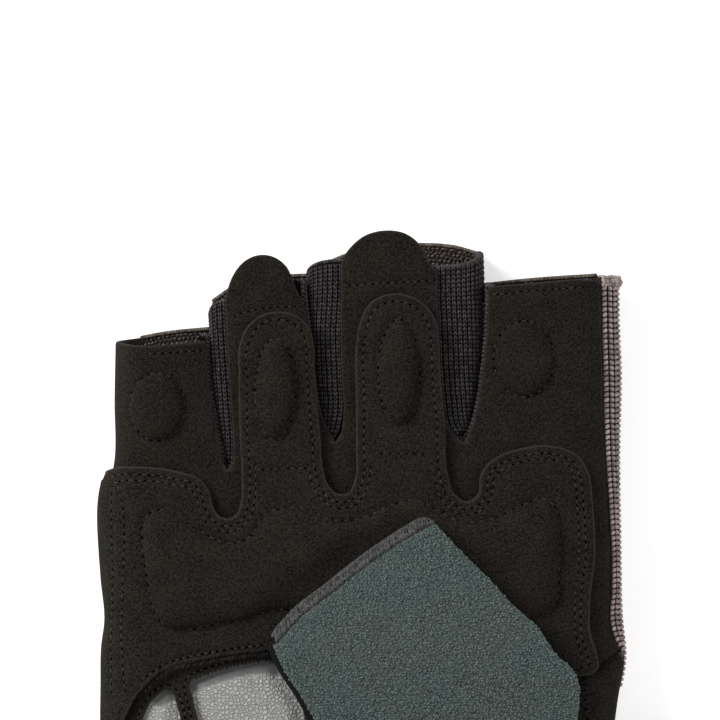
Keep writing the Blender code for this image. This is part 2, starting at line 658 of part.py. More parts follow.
def build_fourchette(gap, line):
    """Knitted side strip of two fingers: down one finger, round the crotch, up the other."""
    left = Curve([(row.y, row.left) for row in gap.rows])
    right = Curve([(row.y, row.right) for row in gap.rows])
    stations = []
    for y in y_run(gap.left_rim_y, gap.crotch_y + 1.2, STRIP_STEP):
        stations.append((float(line(y)) - SLIT, y, math.pi, float(left(y))))
    for angle in np.linspace(math.pi, 2 * math.pi, 7)[1:-1]:
        x = float(line(gap.crotch_y)) + SLIT * math.cos(angle)
        stations.append((x, gap.crotch_y + SLIT * math.sin(angle), angle, 1.0))
    for y in y_run(gap.crotch_y + 1.2, gap.right_rim_y, STRIP_STEP):
        stations.append((float(line(y)) + SLIT, y, 2 * math.pi, float(right(y))))
    outer, inner = [], []
    for x, y, angle, reach in stations:
        across = np.array([math.cos(angle), math.sin(angle)])
        drop = max(SHALLOWEST, 0.75 * reach)
        tuck = reach + TUCK
        profile, normals = [(tuck, 0.0)], [(0.0, 1.0)]
        for t in np.linspace(0, math.pi / 2, 5):
            profile.append((reach * (1 - math.sin(t)), -drop * (1 - math.cos(t))))
            normals.append((-drop * math.sin(t), reach * math.cos(t)))
        top = float(palm_height(x + reach * across[0], y + reach * across[1])) - SUEDE - GAP
        low = KNIT + GAP
        profile += [(0.0, (low - top) * 0.6), (0.0, low - top)]
        normals += [(-1.0, 0.0), (-1.0, 0.0)]
        ring_outer, ring_inner = [], []
        for (q, z), (nq, nz) in zip(profile, normals):
            size = math.hypot(nq, nz)
            nq, nz = nq / size, nz / size
            thickness = SUEDE
            ring_outer.append((x + q * across[0], y + q * across[1], top + z))
            q, z = q - nq * thickness, z - nz * thickness
            ring_inner.append((x + q * across[0], y + q * across[1], top + z))
        ring_inner[-1] = (*ring_inner[-1][:2], low)
        outer.append(ring_outer)
        inner.append(ring_inner)
    return grid_solid(gap.name, np.array(outer), np.array(inner))


def build_thumb(name, sign):
    """Half of the thumb tube, on the palm side (1) or the back side (-1)."""
    radius = float(side_height(THUMB_Y)) / 2
    outer, inner = [], []
    for angle in np.linspace(0.025, math.pi - 0.025, 13):
        ring_outer, ring_inner = [], []
        root_y = THUMB_Y + THUMB_HALF_WIDTH * math.cos(angle)
        root_radius = float(side_height(root_y)) / 2
        turn = math.acos(THUMB_HALF_HEIGHT * math.sin(angle) / root_radius)
        side = float(right_side(root_y))
        root_x = side - root_radius * (1 - math.sin(turn))
        for part in np.linspace(0, 1, 6):
            x = root_x + part * (side + THUMB_LENGTH - root_x)
            scale = 1 - THUMB_TAPER * (x - side) / THUMB_LENGTH
            y_middle = THUMB_Y + math.tan(THUMB_TILT) * (x - side)
            for ring, less in ((ring_outer, GAP), (ring_inner, GAP + SUEDE)):
                half_width = scale * THUMB_HALF_WIDTH - less
                half_height = scale * THUMB_HALF_HEIGHT - less
                z = radius + sign * max(half_height * math.sin(angle), GAP / 2)
                ring.append((x, y_middle + half_width * math.cos(angle), z))
        outer.append(ring_outer)
        inner.append(ring_inner)
    return grid_solid(name, np.array(outer), np.array(inner))


def build_cuff_binding():
    """Closed band round the opening for the hand."""
    loops = []
    for y in (CUFF_Y - GAP, CUFF_Y - GAP - BINDING_LENGTH / 2, CUFF_Y - GAP - BINDING_LENGTH):
        radius = float(side_height(y)) / 2
        low = float(left_side(y)) + radius * (1 - math.pi / 2)
        high = float(right_side(y)) - radius * (1 - math.pi / 2)
        low_flat, high_flat = float(left_side(y)) + radius, float(right_side(y)) - radius
        turns = np.linspace(0, math.pi / 2, 5)
        u = np.concatenate([
            low_flat - radius * turns[:0:-1],
            np.linspace(low_flat, high_flat, 12),
            high_flat + radius * turns[1:-1],
        ])
        u[0] = low
        across = np.append(u, high)
        back_u = across[::-1][:-1]
        ys, back_ys = np.full(len(u), y), np.full(len(back_u), y)
        loop = []
        for offset in (BINDING_PROUD, BINDING_PROUD - BINDING_THICKNESS):
            top = offset_points(palm_face, 1, u, ys, np.full(len(u), offset))
            bottom = offset_points(back_face, -1, back_u, back_ys, np.full(len(back_u), offset))
            if offset > 0:
                bottom[:, 2] = np.maximum(bottom[:, 2], 0)
            loop.append(np.concatenate([top, bottom]))
        loops.append(loop)
    outer = np.stack([loop[0] for loop in loops], 1)
    inner = np.stack([loop[1] for loop in loops], 1)
    return grid_solid("cuff_binding", outer, inner, closed=True)


def build_insets(windows):
    for name, window in windows.items():
        middle = window.mean(axis=0)
        away = window - middle
        outline = middle + away * (1 + INSET_MARGIN / np.linalg.norm(away, axis=1, keepdims=True))

        def bulge(u, y, window=window):
            points = np.stack([u, y], -1)
            depth = np.where(inside(points, window), distance_to(points, window), 0.0)
            return INSET_BULGE * smoothstep(2.0, 6.0, depth)

        low = -SUEDE - GAP - INSET
        high = -SUEDE - GAP
        panel(
            name, palm_face, 1, outline,
            lambda u, y: low + bulge(u, y), lambda u, y: high + bulge(u, y), FINE,
        )


def build_strap():
    end_inset = 2 * EDGING_HALF_WIDTH + GAP
    step = STRAP_STEP
    backing = strap_outline(step, end_inset, STRAP_BACKING_WIDER)
    panel(
        "strap_backing", palm_face, 1, backing, strap_lift,
        lambda u, y: strap_lift(u, y) + STRAP_BACKING, COARSE,
    )
    low = STRAP_BACKING + GAP
    panel(
        "strap_loop_face", palm_face, 1, strap_outline(step, end_inset),
        lambda u, y: strap_lift(u, y) + low, lambda u, y: strap_lift(u, y) + low + STRAP_LOOP, COARSE,
    )
    panel(
        "hook_patch", palm_face, 1, smooth_loop(HOOK_PATCH, 5.0),
        lambda u, y: strap_lift(u, y) - GAP - HOOK, lambda u, y: strap_lift(u, y) - GAP, COARSE,
    )


def build_edging():
    """Thread edging over the end of the strap: an oval bar along it."""
    path = smooth_run(STRAP_END, 4.0)
    direction = path[-1] - path[0]
    direction /= np.linalg.norm(direction)
    back = np.array([direction[1], -direction[0]])
    centre = path + EDGING_HALF_WIDTH * back
    u, y = centre.T
    middle = strap_lift(u, y) + (STRAP_BACKING + GAP + STRAP_LOOP) / 2
    spine = offset_points(palm_face, 1, u, y, middle)
    angles = np.linspace(0, 2 * math.pi, 11)[:-1]
    points = []
    for point, tangent in zip(spine, np.gradient(spine, axis=0)):
        side = np.cross(tangent, (0, 0, 1))
        side /= np.linalg.norm(side)
        for angle in angles:
            across = EDGING_HALF_WIDTH * math.cos(angle) * side
            points.append(point + across + np.array([0, 0, EDGING_HALF_HEIGHT * math.sin(angle)]))
    count, rows = len(angles), len(spine)
    faces = [tuple(range(count))[::-1], tuple(range(count * (rows - 1), count * rows))]
    for i in range(rows - 1):
        for j in range(count):
            k = (j + 1) % count
            faces.append((i * count + j, i * count + k, (i + 1) * count + k, (i + 1) * count + j))
    add_solid("strap_end_edging", points, faces)


def build_pads():
    loop = smooth_loop(PALM_PAD, 4.0)
    rise = rounded_rise(loop, pad_rise, PAD_EDGE, PAD_ROUNDING)
    panel("palm_pad", palm_face, 1, loop, PAD_LOW, lambda u, y: PAD_LOW + rise(u, y), FINE)
    for pad in FINGER_PADS:
        angles = np.linspace(0, 2 * math.pi, 17)[:-1]
        oval = np.stack([pad.x + pad.half_x * np.cos(angles), pad.y + pad.half_y * np.sin(angles)], -1)
        full = rounded_rise(oval, lambda u, y: np.full(len(u), FINGER_PAD_RISE), PAD_EDGE, pad.half_x * 0.9)
        panel(
            pad.name, palm_face, 1, oval, pad.low,
            lambda u, y, full=full, low=pad.low: low + full(u, y), 3.2,
        )


def build_glove():
    for obj in list(bpy.data.objects):
        bpy.data.objects.remove(obj, do_unlink=True)
    windows = {
        "grip_inset_outer": smooth_loop(WINDOW_OUTER, 3.6),
        "grip_inset_inner": smooth_loop(WINDOW_INNER, 4.0),
    }
    panel("palm_panel", palm_face, 1, palm_outline(PALM_STEP), -SUEDE, 0.0, COARSE, list(windows.values()))
    panel("back_panel", back_face, -1, back_outline(BACK_STEP), -KNIT, 0.0, COARSE)
    panel("palm_overlay", palm_face, 1, overlay_outline(OVERLAY_STEP), OVERLAY_LOW, OVERLAY_HIGH, COARSE)
    for gap, line in zip(GAPS, meeting_lines):
        build_fourchette(gap, line)
    build_pads()
    build_insets(windows)
    build_thumb("thumb_palm", 1)
    build_thumb("thumb_back", -1)
    build_cuff_binding()
    build_strap()
    build_edging()


build_glove()
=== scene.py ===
"""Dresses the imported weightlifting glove: suede, knit, fleece, stitching, and a plain studio.

Lengths in the tables and in the code are millimetres, and become metres where a mesh is made.
x runs to the thumb side, y to the fingertips, and z up from the table that the glove lies on.
"""

from __future__ import annotations

import logging
import math
from dataclasses import dataclass, field
from enum import Enum
from typing import Callable, ClassVar, Iterable, Sequence

import bpy
import numpy as np
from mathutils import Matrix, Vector
from mathutils.geometry import delaunay_2d_cdt
from mathutils.kdtree import KDTree

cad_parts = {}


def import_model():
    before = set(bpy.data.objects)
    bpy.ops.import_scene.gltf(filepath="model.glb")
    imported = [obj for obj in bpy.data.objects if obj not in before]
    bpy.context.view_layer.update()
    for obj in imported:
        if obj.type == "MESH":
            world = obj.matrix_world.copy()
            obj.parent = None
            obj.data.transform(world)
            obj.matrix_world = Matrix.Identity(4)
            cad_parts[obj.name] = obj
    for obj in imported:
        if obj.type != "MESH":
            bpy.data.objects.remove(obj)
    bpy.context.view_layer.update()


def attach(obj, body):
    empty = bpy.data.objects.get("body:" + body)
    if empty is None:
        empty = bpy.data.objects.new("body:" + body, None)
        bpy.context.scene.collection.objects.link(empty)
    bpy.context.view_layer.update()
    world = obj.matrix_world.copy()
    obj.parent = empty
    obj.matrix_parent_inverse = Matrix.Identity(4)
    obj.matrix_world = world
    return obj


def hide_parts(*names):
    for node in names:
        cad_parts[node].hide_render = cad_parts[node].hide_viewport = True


LOG = logging.getLogger("glove")
MM = 0.001
BODY = "root"

Array = np.ndarray
Level = Callable[[Array, Array], Array]
Spots = Iterable[Sequence[float]]
Piece = bpy.types.Object
Socket = bpy.types.NodeSocket

# Thickness of the materials, the gap between layers, and the pad's rise below the strap's end
SUEDE = 1.2
KNIT = 1.5
GAP = 0.35
HOOK_THICKNESS = 0.9
PRESSED_PAD = 1.4
OVERLAY_LOW = 1.4 * GAP
OVERLAY_HIGH = OVERLAY_LOW + SUEDE

# How high the strap's end lies, and the places along the glove between which the strap sinks
STRAP_LIFT_TIP = OVERLAY_HIGH + 3 * GAP + (PRESSED_PAD + HOOK_THICKNESS)
STRAP_SINKS = (-42.0, -7.0)

# Tables of the hand's outline: rows are (y, x), then rows of (y, height)
LEFT_SIDE = [
    (-82.0, -44.6), (-62.0, -46.4), (-40.0, -50.6), (-24.0, -51.9), (-10.0, -51.6), (-6.0, -51.1),
    (4.0, -52.0), (22.0, -51.9), (27.0, -50.9), (40.0, -50.8), (52.0, -50.6), (66.0, -50.4),
]
RIGHT_SIDE = [
    (-82.0, 43.0), (-62.0, 44.4), (-46.0, 47.6), (-32.0, 49.8), (-20.0, 51.4), (-13.0, 52.6),
    (-4.0, 51.9), (10.0, 51.6), (31.0, 51.4), (46.0, 51.7), (56.0, 51.3), (66.0, 51.3),
]
SIDE_HEIGHT = [(-82.0, 14.6), (-60.0, 16.0), (-30.0, 17.4), (10.0, 17.4), (45.0, 16.6), (76.0, 15.2)]

# Rims of the fingers, front and back, and edges of the layers: rows are (x, y) seen from above
RIM_PINKY = [(-43.0, 50.9), (-37.0, 51.3), (-31.6, 51.9)]
TAB_RING = [
    (-28.2, 60.0), (-27.4, 62.8), (-26.0, 65.8), (-23.6, 68.2), (-20.5, 69.1), (-17.7, 68.4),
    (-15.7, 66.7), (-14.6, 64.6), (-13.6, 62.0), (-12.4, 60.0),
]
TAB_MIDDLE = [
    (-4.8, 67.4), (-4.0, 69.2), (-2.4, 71.2), (-0.2, 72.9), (4.2, 74.0), (7.8, 73.5), (10.2, 72.0),
    (11.8, 70.0), (12.8, 67.8), (14.6, 65.6),
]
RIM_INDEX = [(25.0, 62.8), (35.4, 63.6), (43.0, 64.2), (46.2, 64.0)]
BACK_RIM_PINKY = [(-46.0, 52.6), (-40.0, 53.6), (-31.9, 54.4)]
BACK_RIM_RING = [(-31.0, 60.2), (-26.0, 63.4), (-20.0, 64.8), (-11.0, 65.4)]
BACK_RIM_MIDDLE = [(-9.8, 66.8), (-4.0, 69.4), (4.0, 71.2), (12.0, 71.6), (18.0, 71.2), (23.2, 69.8)]
BACK_RIM_INDEX = [(24.8, 63.4), (34.0, 64.4), (42.0, 65.0), (48.0, 65.3)]
INDEX_SEAM = [
    (47.2, 63.2), (47.4, 51.0), (48.0, 31.0), (48.8, 19.0), (49.4, 9.0), (49.4, 1.6), (49.0, -4.4),
    (50.2, -8.4), (51.6, -10.6),
]
OVERLAY_LEFT = [(-50.6, 25.4), (-48.6, 26.3), (-46.0, 26.6), (-42.0, 26.6), (-37.2, 25.8), (-34.0, 25.0)]
OVERLAY = [
    (-34.0, 25.0), (-32.0, 23.4), (-30.8, 21.4), (-30.2, 18.8), (-29.0, 17.0), (-27.0, 16.4),
    (-25.4, 17.4), (-24.6, 20.0), (-24.4, 25.0), (-24.8, 34.0), (-25.0, 44.0), (-24.8, 51.2),
    (-23.2, 54.8), (-20.8, 56.8), (-17.4, 57.6), (-14.0, 56.8), (-11.4, 54.2), (-10.6, 51.0),
    (-10.4, 46.0), (-9.9, 40.0), (-9.0, 32.0), (-8.4, 26.4), (-7.2, 22.8), (-5.2, 21.2), (-3.4, 21.4),
    (-2.0, 24.0), (-1.7, 30.0), (-1.6, 40.0), (-1.6, 51.2), (-0.8, 55.6), (1.2, 59.4), (5.6, 61.2),
    (9.2, 60.6), (12.2, 58.6), (14.2, 55.4), (14.7, 51.0), (15.0, 44.0), (15.8, 35.0), (16.4, 25.0),
    (17.6, 21.4), (20.2, 19.8), (22.4, 21.2), (22.8, 24.4), (24.0, 26.8), (27.0, 29.0), (31.0, 30.4),
    (36.4, 31.0), (40.2, 30.2), (42.8, 28.6), (44.2, 25.6), (45.0, 19.0), (45.4, 10.0), (44.6, 0.0),
    (44.6, -6.0), (45.8, -11.0), (46.0, -13.6), (44.6, -14.8), (42.6, -15.0),
]
OVERLAY_LOWER = [(42.6, -15.0), (20.0, -13.0), (0.0, -10.6), (-18.4, -9.6), (-30.0, -11.2), (-41.0, -14.4)]
OVERLAY_HEEL = [(-41.0, -14.4), (-44.6, -18.0), (-47.6, -24.0), (-50.8, -30.0)]
PALM_PAD = [
    (-44.0, 16.0), (-42.4, 17.8), (-39.4, 18.0), (-36.8, 16.8), (-33.4, 14.6), (-31.0, 12.8),
    (-28.4, 11.7), (-25.6, 11.5), (-23.2, 12.4), (-21.4, 14.6), (-19.6, 17.2), (-15.6, 18.4),
    (-11.6, 18.4), (-8.6, 16.9), (-5.6, 16.0), (-2.4, 16.1), (1.4, 17.2), (5.4, 19.2), (10.8, 19.8),
    (14.4, 17.9), (19.2, 15.8), (24.0, 16.0), (28.4, 17.6), (32.8, 19.7), (35.6, 20.4), (37.6, 19.0),
    (38.4, 15.8), (38.5, 6.0), (37.8, -0.8), (36.0, -2.8), (33.0, -3.8), (10.0, -3.6), (-6.0, -2.8),
    (-18.4, -1.8), (-24.0, -3.6), (-29.6, -4.6), (-35.0, -5.6), (-39.0, -5.4), (-41.4, -3.4),
    (-42.8, 1.6), (-43.8, 7.2), (-44.2, 12.0),
]
WINDOW_OUTER = [
    (-39.4, -17.9), (-41.4, -19.0), (-43.4, -21.2), (-44.8, -24.2), (-45.6, -29.0), (-44.6, -34.6),
    (-41.4, -37.4), (-38.0, -35.6), (-36.6, -30.0), (-36.9, -24.0), (-37.8, -20.6), (-38.7, -18.3),
]
WINDOW_INNER = [
    (-35.0, -16.4), (-34.4, -20.4), (-33.2, -25.0), (-32.6, -31.0), (-30.0, -36.4), (-24.0, -38.6),
    (-17.0, -37.4), (-12.8, -31.0), (-12.0, -24.6), (-12.8, -20.6), (-15.4, -16.4), (-18.6, -12.2),
    (-22.0, -12.2), (-27.0, -13.2), (-31.4, -14.6),
]
STRAP_END = [(-18.6, -6.4), (-13.2, -0.4), (-8.0, 3.6), (-3.4, 7.4), (1.4, 11.0), (6.4, 14.4), (10.4, 16.8)]
STRAP_RIGHT = [
    (10.4, 16.8), (12.8, 16.0), (16.2, 12.6), (19.8, 8.8), (24.2, 4.4), (28.4, -0.2), (33.6, -5.0),
    (37.6, -10.6), (40.2, -12.8), (41.6, -15.0), (42.1, -18.0), (41.8, -24.0), (41.0, -36.0),
    (39.2, -50.0), (36.6, -66.0),
]
STRAP_ROOT = [(36.6, -66.0), (24.0, -68.4), (9.0, -66.0)]
STRAP_LEFT = [
    (9.0, -66.0), (3.0, -52.0), (-4.6, -36.0), (-9.6, -23.6), (-12.0, -19.0), (-15.4, -13.6), (-18.6, -6.4),
]
HOOK_PATCH = [(-10.6, -5.4), (-1.6, 3.6), (8.4, 11.6), (20.4, -1.6), (8.4, -11.4), (1.0, -17.0)]

# Columns: y, the line where two fingers meet, and how far the left and right fronts stop short
GAP_PINKY_RING = [
    (60.5, -31.6, 0.4, 3.4), (52.0, -31.2, 0.4, 3.4), (44.0, -30.9, 0.4, 3.7), (38.0, -29.9, 0.4, 3.1),
    (32.0, -28.7, 0.5, 2.3), (27.0, -27.6, 0.7, 1.2),
]
GAP_RING_MIDDLE = [
    (68.5, -10.4, 2.0, 5.6), (60.0, -10.0, 2.4, 5.1), (54.0, -9.3, 1.6, 4.3), (44.0, -8.3, 1.5, 3.7),
    (38.0, -7.4, 1.4, 3.1), (32.6, -5.9, 0.8, 1.2),
]
GAP_MIDDLE_INDEX = [
    (69.6, 23.8, 9.2, 0.4), (61.6, 24.2, 9.6, 0.5), (54.0, 24.0, 9.1, 0.4), (46.0, 23.2, 8.0, 0.4),
    (38.0, 21.9, 6.0, 0.4), (35.0, 21.0, 4.6, 0.5), (32.5, 19.6, 1.6, 0.8),
]


class Face(Enum):
    """Which face of the flattened glove a sheet lies on."""

    PALM = 1
    BACK = -1


class Curve:
    """A smooth value through a table of (position, value) rows."""

    def __init__(self, rows: Spots) -> None:
        """Reads the table.

        Args:
            rows: Pairs of a position and its value.
        """
        table = np.array(sorted(tuple(row[:2]) for row in rows), float)
        self.at, self.value = table.T
        self.slope = np.gradient(self.value, self.at)

    def __call__(self, at: Array | float) -> Array:
        """Reads the curve.

        Args:
            at: Positions, held inside the table.

        Returns:
            The values there.
        """
        at = np.clip(at, self.at[0], self.at[-1])
        i = np.clip(np.searchsorted(self.at, at) - 1, 0, len(self.at) - 2)
        span = self.at[i + 1] - self.at[i]
        t = (at - self.at[i]) / span
        start = (2 * t**3 - 3 * t**2 + 1) * self.value[i] + (t**3 - 2 * t**2 + t) * span * self.slope[i]
        end = (3 * t**2 - 2 * t**3) * self.value[i + 1] + (t**3 - t**2) * span * self.slope[i + 1]
        return start + end


def smoothstep(low: float, high: float, value: Array) -> Array:
    """Smooth ramp from 0 at low to 1 at high."""
    t = np.clip((np.asarray(value, float) - low) / (high - low), 0.0, 1.0)
    return t * t * (3 - 2 * t)


def stack(*columns: Array) -> Array:
    """Columns as the last axis of one array."""
    return np.stack(np.broadcast_arrays(*columns), -1)


def level_at(offset: float) -> Level:
    """A surface at one offset all over."""
    return lambda u, y: 0 * u + offset


def loop_area(loop: Array) -> float:
    """Area inside a closed loop."""
    x, y = loop.T
    return abs(np.dot(x, np.roll(y, -1)) - np.dot(y, np.roll(x, -1))) / 2


def distances(points: Array) -> Array:
    """Distance along a run of points up to each of them."""
    return np.concatenate([[0], np.cumsum(np.linalg.norm(np.diff(points, axis=0), axis=1))])


def smooth_run(points: Spots, step: float, samples: int = 40) -> Array:
    """Spaces points evenly along a smooth open curve.

    Args:
        points: Points that the curve passes through.
        step: Distance between the returned points.
        samples: How often the curve is read for each of the given points.
    Returns:
        The points, with both ends.
    """
    given = np.array([tuple(point) for point in points], float)
    reach = distances(given)
    dense = given
    if len(given) > 2:
        fine = np.linspace(0, reach[-1], samples * len(given))
        dense = np.stack([Curve(zip(reach, column))(fine) for column in given.T], -1)
    length = distances(dense)
    wanted = np.linspace(0, length[-1], max(2, int(round(length[-1] / step)) + 1))
    return np.stack([np.interp(wanted, length, column) for column in dense.T], -1)


def smooth_loop(points: Spots, step: float) -> Array:
    """Spaces points evenly along a smooth closed curve.

    Args:
        points: Points that the curve passes through.
        step: Distance between the returned points.

    Returns:
        The points, without the first one again at the end.
    """
    given = [tuple(point) for point in points]
    fine_step = step / 6
    run = smooth_run(given[-3:] + given + given[:4], fine_step)
    half = len(run) // 2
    start = int(np.argmin(np.linalg.norm(run[:half] - given[0], axis=1)))
    end = half + int(np.argmin(np.linalg.norm(run[half:] - given[0], axis=1)))
    return smooth_run(run[start : end + 1], step)[:-1]


def joined(*runs: Spots, least: float = 0.25) -> Array:
    """Makes one closed outline from runs that follow one another.

    Args:
        *runs: Points of each run.
        least: Distance that a point keeps from the one before it.

    Returns:
        The points of the outline.
    """
    kept: list[tuple[float, ...]] = []
    for run in runs:
        for point in run:
            if not kept or np.linalg.norm(np.subtract(point, kept[-1])) > least:
                kept.append(tuple(float(value) for value in point))
    if np.linalg.norm(np.subtract(kept[0], kept[-1])) < least:
        kept.pop()
    return np.array(kept)


def inside(points: Array, loop: Array, batch: int = 3000) -> Array:
    """Which points lie inside a closed loop.

    Args:
        points: Points to test, one per row.
        loop: Corners of the loop.
        batch: About how many points are tested at a time.
    Returns:
        A mask over the points.
    """
    x0, y0 = loop.T
    x1, y1 = np.roll(loop, -1, axis=0).T
    rise = np.where(y1 == y0, 1, y1 - y0)
    found = []
    for part in np.array_split(points, max(1, len(points) // batch)):
        x, y = part[:, 0, None], part[:, 1, None]
        crosses = (y0 <= y) != (y1 <= y)
        found.append((crosses & (x < x0 + (y - y0) * (x1 - x0) / rise)).sum(axis=1) % 2 == 1)
    return np.concatenate(found)


class Trail:
    """A line drawn on a face: an edge, a seam or a row of stitches."""

    sampling: ClassVar[float] = 0.15
    def __init__(self, points: Array, closed: bool = False) -> None:
        """Samples the line finely, so that distances to it can be read fast.

        Args:
            points: Points along the line.
            closed: Whether the last point joins the first.
        """
        points = np.asarray(points, float)
        if closed:
            points = np.concatenate([points, points[:1]])
        length = distances(points)
        self.length = float(length[-1])
        self.reach = np.linspace(0, self.length, max(3, int(self.length / self.sampling)))
        self.points = np.stack([np.interp(self.reach, length, column) for column in points.T], -1)
        self.tree = KDTree(len(self.points))
        for index, (x, y) in enumerate(self.points):
            self.tree.insert((x, y, 0.0), index)
        self.tree.balance()

    def nearest(self, u: Array, y: Array) -> tuple[Array, Array]:
        """Distance to the line, and how far along it the nearest point lies."""
        found = [self.tree.find((a, b, 0.0)) for a, b in zip(u.tolist(), y.tolist())]
        return np.array([hit[2] for hit in found]), self.reach[[hit[1] for hit in found]]

    def at(self, reach: Array) -> Array:
        """Points of the line at distances along it."""
        return np.stack([np.interp(reach, self.reach, column) for column in self.points.T], -1)


def shifted(points: Array, distance: float, closed: bool = False, share: float = 0.93) -> Array:
    """Moves a line sideways and drops what then lies too near to it.

    Args:
        points: Points of the line.
        distance: How far to move it to its left.
        closed: Whether the line is a loop.
        share: Part of that distance that a moved point keeps from the whole line.
    Returns:
        The points of the moved line.
    """
    if closed:
        along = np.roll(points, -1, axis=0) - np.roll(points, 1, axis=0)
    else:
        along = np.gradient(points, axis=0)
    along /= np.linalg.norm(along, axis=1, keepdims=True)
    moved = points + distance * np.stack([-along[:, 1], along[:, 0]], -1)
    away, _ = Trail(points, closed).nearest(*moved.T)
    return moved[away > abs(distance) * share]


@dataclass
class GloveForm:
    """The flattened shape of the glove: every sheet lies at an offset from one of its faces."""

    crown_hand: float = 2.6
    crown_finger: float = 1.5
    fingers_start: float = 18.0
    fingers_full: float = 44.0
    seam_short: float = 0.1
    left: Curve = field(default_factory=lambda: Curve(LEFT_SIDE))
    right: Curve = field(default_factory=lambda: Curve(RIGHT_SIDE))
    side_height: Curve = field(default_factory=lambda: Curve(SIDE_HEIGHT))
    lines: list[Curve] = field(
        default_factory=lambda: [Curve(t) for t in (GAP_PINKY_RING, GAP_RING_MIDDLE, GAP_MIDDLE_INDEX)]
    )

    def palm_height(self, x: Array, y: Array) -> Array:
        """Height of the palm face where the sides haven't rolled away yet.

        Args:
            x: Places across the glove, as seen from above.
            y: Places along the glove.

        Returns:
            The heights over the table.
        """
        low, high = self.left(y), self.right(y)
        middle = np.clip((2 * x - low - high) / (high - low), -1, 1)
        hand = self.crown_hand * (1 - middle**2) ** 2
        edges = [low, *(line(y) for line in self.lines), high]
        finger = np.zeros_like(hand)
        for a, b in zip(edges, edges[1:]):
            within = np.clip((2 * x - a - b) / (b - a), -1, 1)
            finger = np.maximum(finger, self.crown_finger * (1 - within**2))
        part = smoothstep(self.fingers_start, self.fingers_full, y)
        return self.side_height(y) + (1 - part) * hand + part * finger

    def point(self, face: Face, u: Array, y: Array) -> Array:
        """Points of a face at flat coordinates, which follow the cloth round both sides.

        Args:
            face: The palm or the back.
            u: Coordinate across the glove.
            y: Coordinate along the glove.

        Returns:
            Points in space.
        """
        radius = self.side_height(y) / 2
        low, high = self.left(y) + radius, self.right(y) - radius
        left = np.clip((low - u) / radius, 0, None)
        right = np.clip((u - high) / radius, 0, None)
        x = np.clip(u, low, high) + radius * (np.sin(right) - np.sin(left))
        turned = radius * (2 - np.cos(left) - np.cos(right))
        z = self.palm_height(x, y) - turned if face is Face.PALM else turned
        return stack(x, y, z)

    def lift(self, face: Face, u: Array, y: Array, offset: Array | float) -> Array:
        """Points at an offset outwards from a face.

        Args:
            face: The palm or the back.
            u: Coordinate across the glove.
            y: Coordinate along the glove.
            offset: Distance along the outward normal.

        Returns:
            Points in space.
        """
        u, y = np.asarray(u, float), np.asarray(y, float)
        step = 0.05
        along = self.point(face, u + step, y) - self.point(face, u - step, y)
        up = self.point(face, u, y + step) - self.point(face, u, y - step)
        normal = face.value * np.cross(along, up)
        normal /= np.linalg.norm(normal, axis=-1, keepdims=True)
        return self.point(face, u, y) + normal * (np.asarray(offset, float) + 0 * u)[..., None]

    def up(self, face: Face, u: Array, y: Array) -> Array:
        """Directions away from a face."""
        return self.lift(face, u, y, 1.0) - self.lift(face, u, y, 0.0)

    def flat(self, points: Spots) -> Array:
        """Flattens points of the palm.

        Args:
            points: Places (x, y) as seen from above.

        Returns:
            Their flat coordinates, which follow the cloth round the sides.
        """
        x, y = np.array([tuple(point) for point in points], float).T
        radius = self.side_height(y) / 2
        low, high = self.left(y) + radius, self.right(y) - radius
        left = np.arcsin(np.clip((low - x) / radius, 0, 1))
        right = np.arcsin(np.clip((x - high) / radius, 0, 1))
        return stack(np.clip(x, low, high) + radius * (right - left), y)

    def side_edge(self, y: Array, sign: int, turn: float = math.pi / 2) -> Array:
        """Flat coordinates of an edge that has turned round one side (-1 left, 1 right)."""
        side = self.left(y) if sign < 0 else self.right(y)
        return stack(side + sign * (self.side_height(y) / 2 * (turn - 1) - GAP / 2), y)

    def seam_on_back(self, points: Spots) -> Array:
        """Flattens a seam that the back reaches by rolling over the index side.

        Args:
            points: Places (x, y) of the seam as seen from above.

        Returns:
            Flat coordinates on the back, which stops a little short of the seam.
        """
        x, y = np.array([tuple(point) for point in points], float).T
        radius = self.side_height(y) / 2
        high = self.right(y) - radius
        turn = math.pi - np.arcsin(np.clip((x - high) / radius, 0, 1))
        return stack(high + radius * turn - self.seam_short, y)


class Waves:
    """The slightly uneven lie of cloth, as a few seeded waves."""

    def __init__(self, seed: int, length: float, height: float, count: int = 9) -> None:
        """Draws the waves.

        Args:
            seed: Seed of the directions and phases.
            length: Typical distance from crest to crest.
            height: Typical height of a crest.
            count: Number of waves.
        """
        random = np.random.default_rng(seed)
        angle = random.uniform(0, 2 * math.pi, count)
        size = 2 * math.pi / (length * random.uniform(0.6, 1.5, count))
        phase = random.uniform(0, 7, count)
        self.waves = np.stack([np.cos(angle) * size, np.sin(angle) * size, phase])
        self.height = height * math.sqrt(2 / count)

    def __call__(self, u: Array, y: Array) -> Array:
        """Height of the waves."""
        kx, ky, phase = self.waves
        return self.height * np.sin(u[..., None] * kx + y[..., None] * ky + phase).sum(-1)


def y_run(start: float, end: float, step: float) -> Array:
    """Evenly spaced values from start to end."""
    return np.linspace(start, end, max(2, int(round(abs(end - start) / step)) + 1))


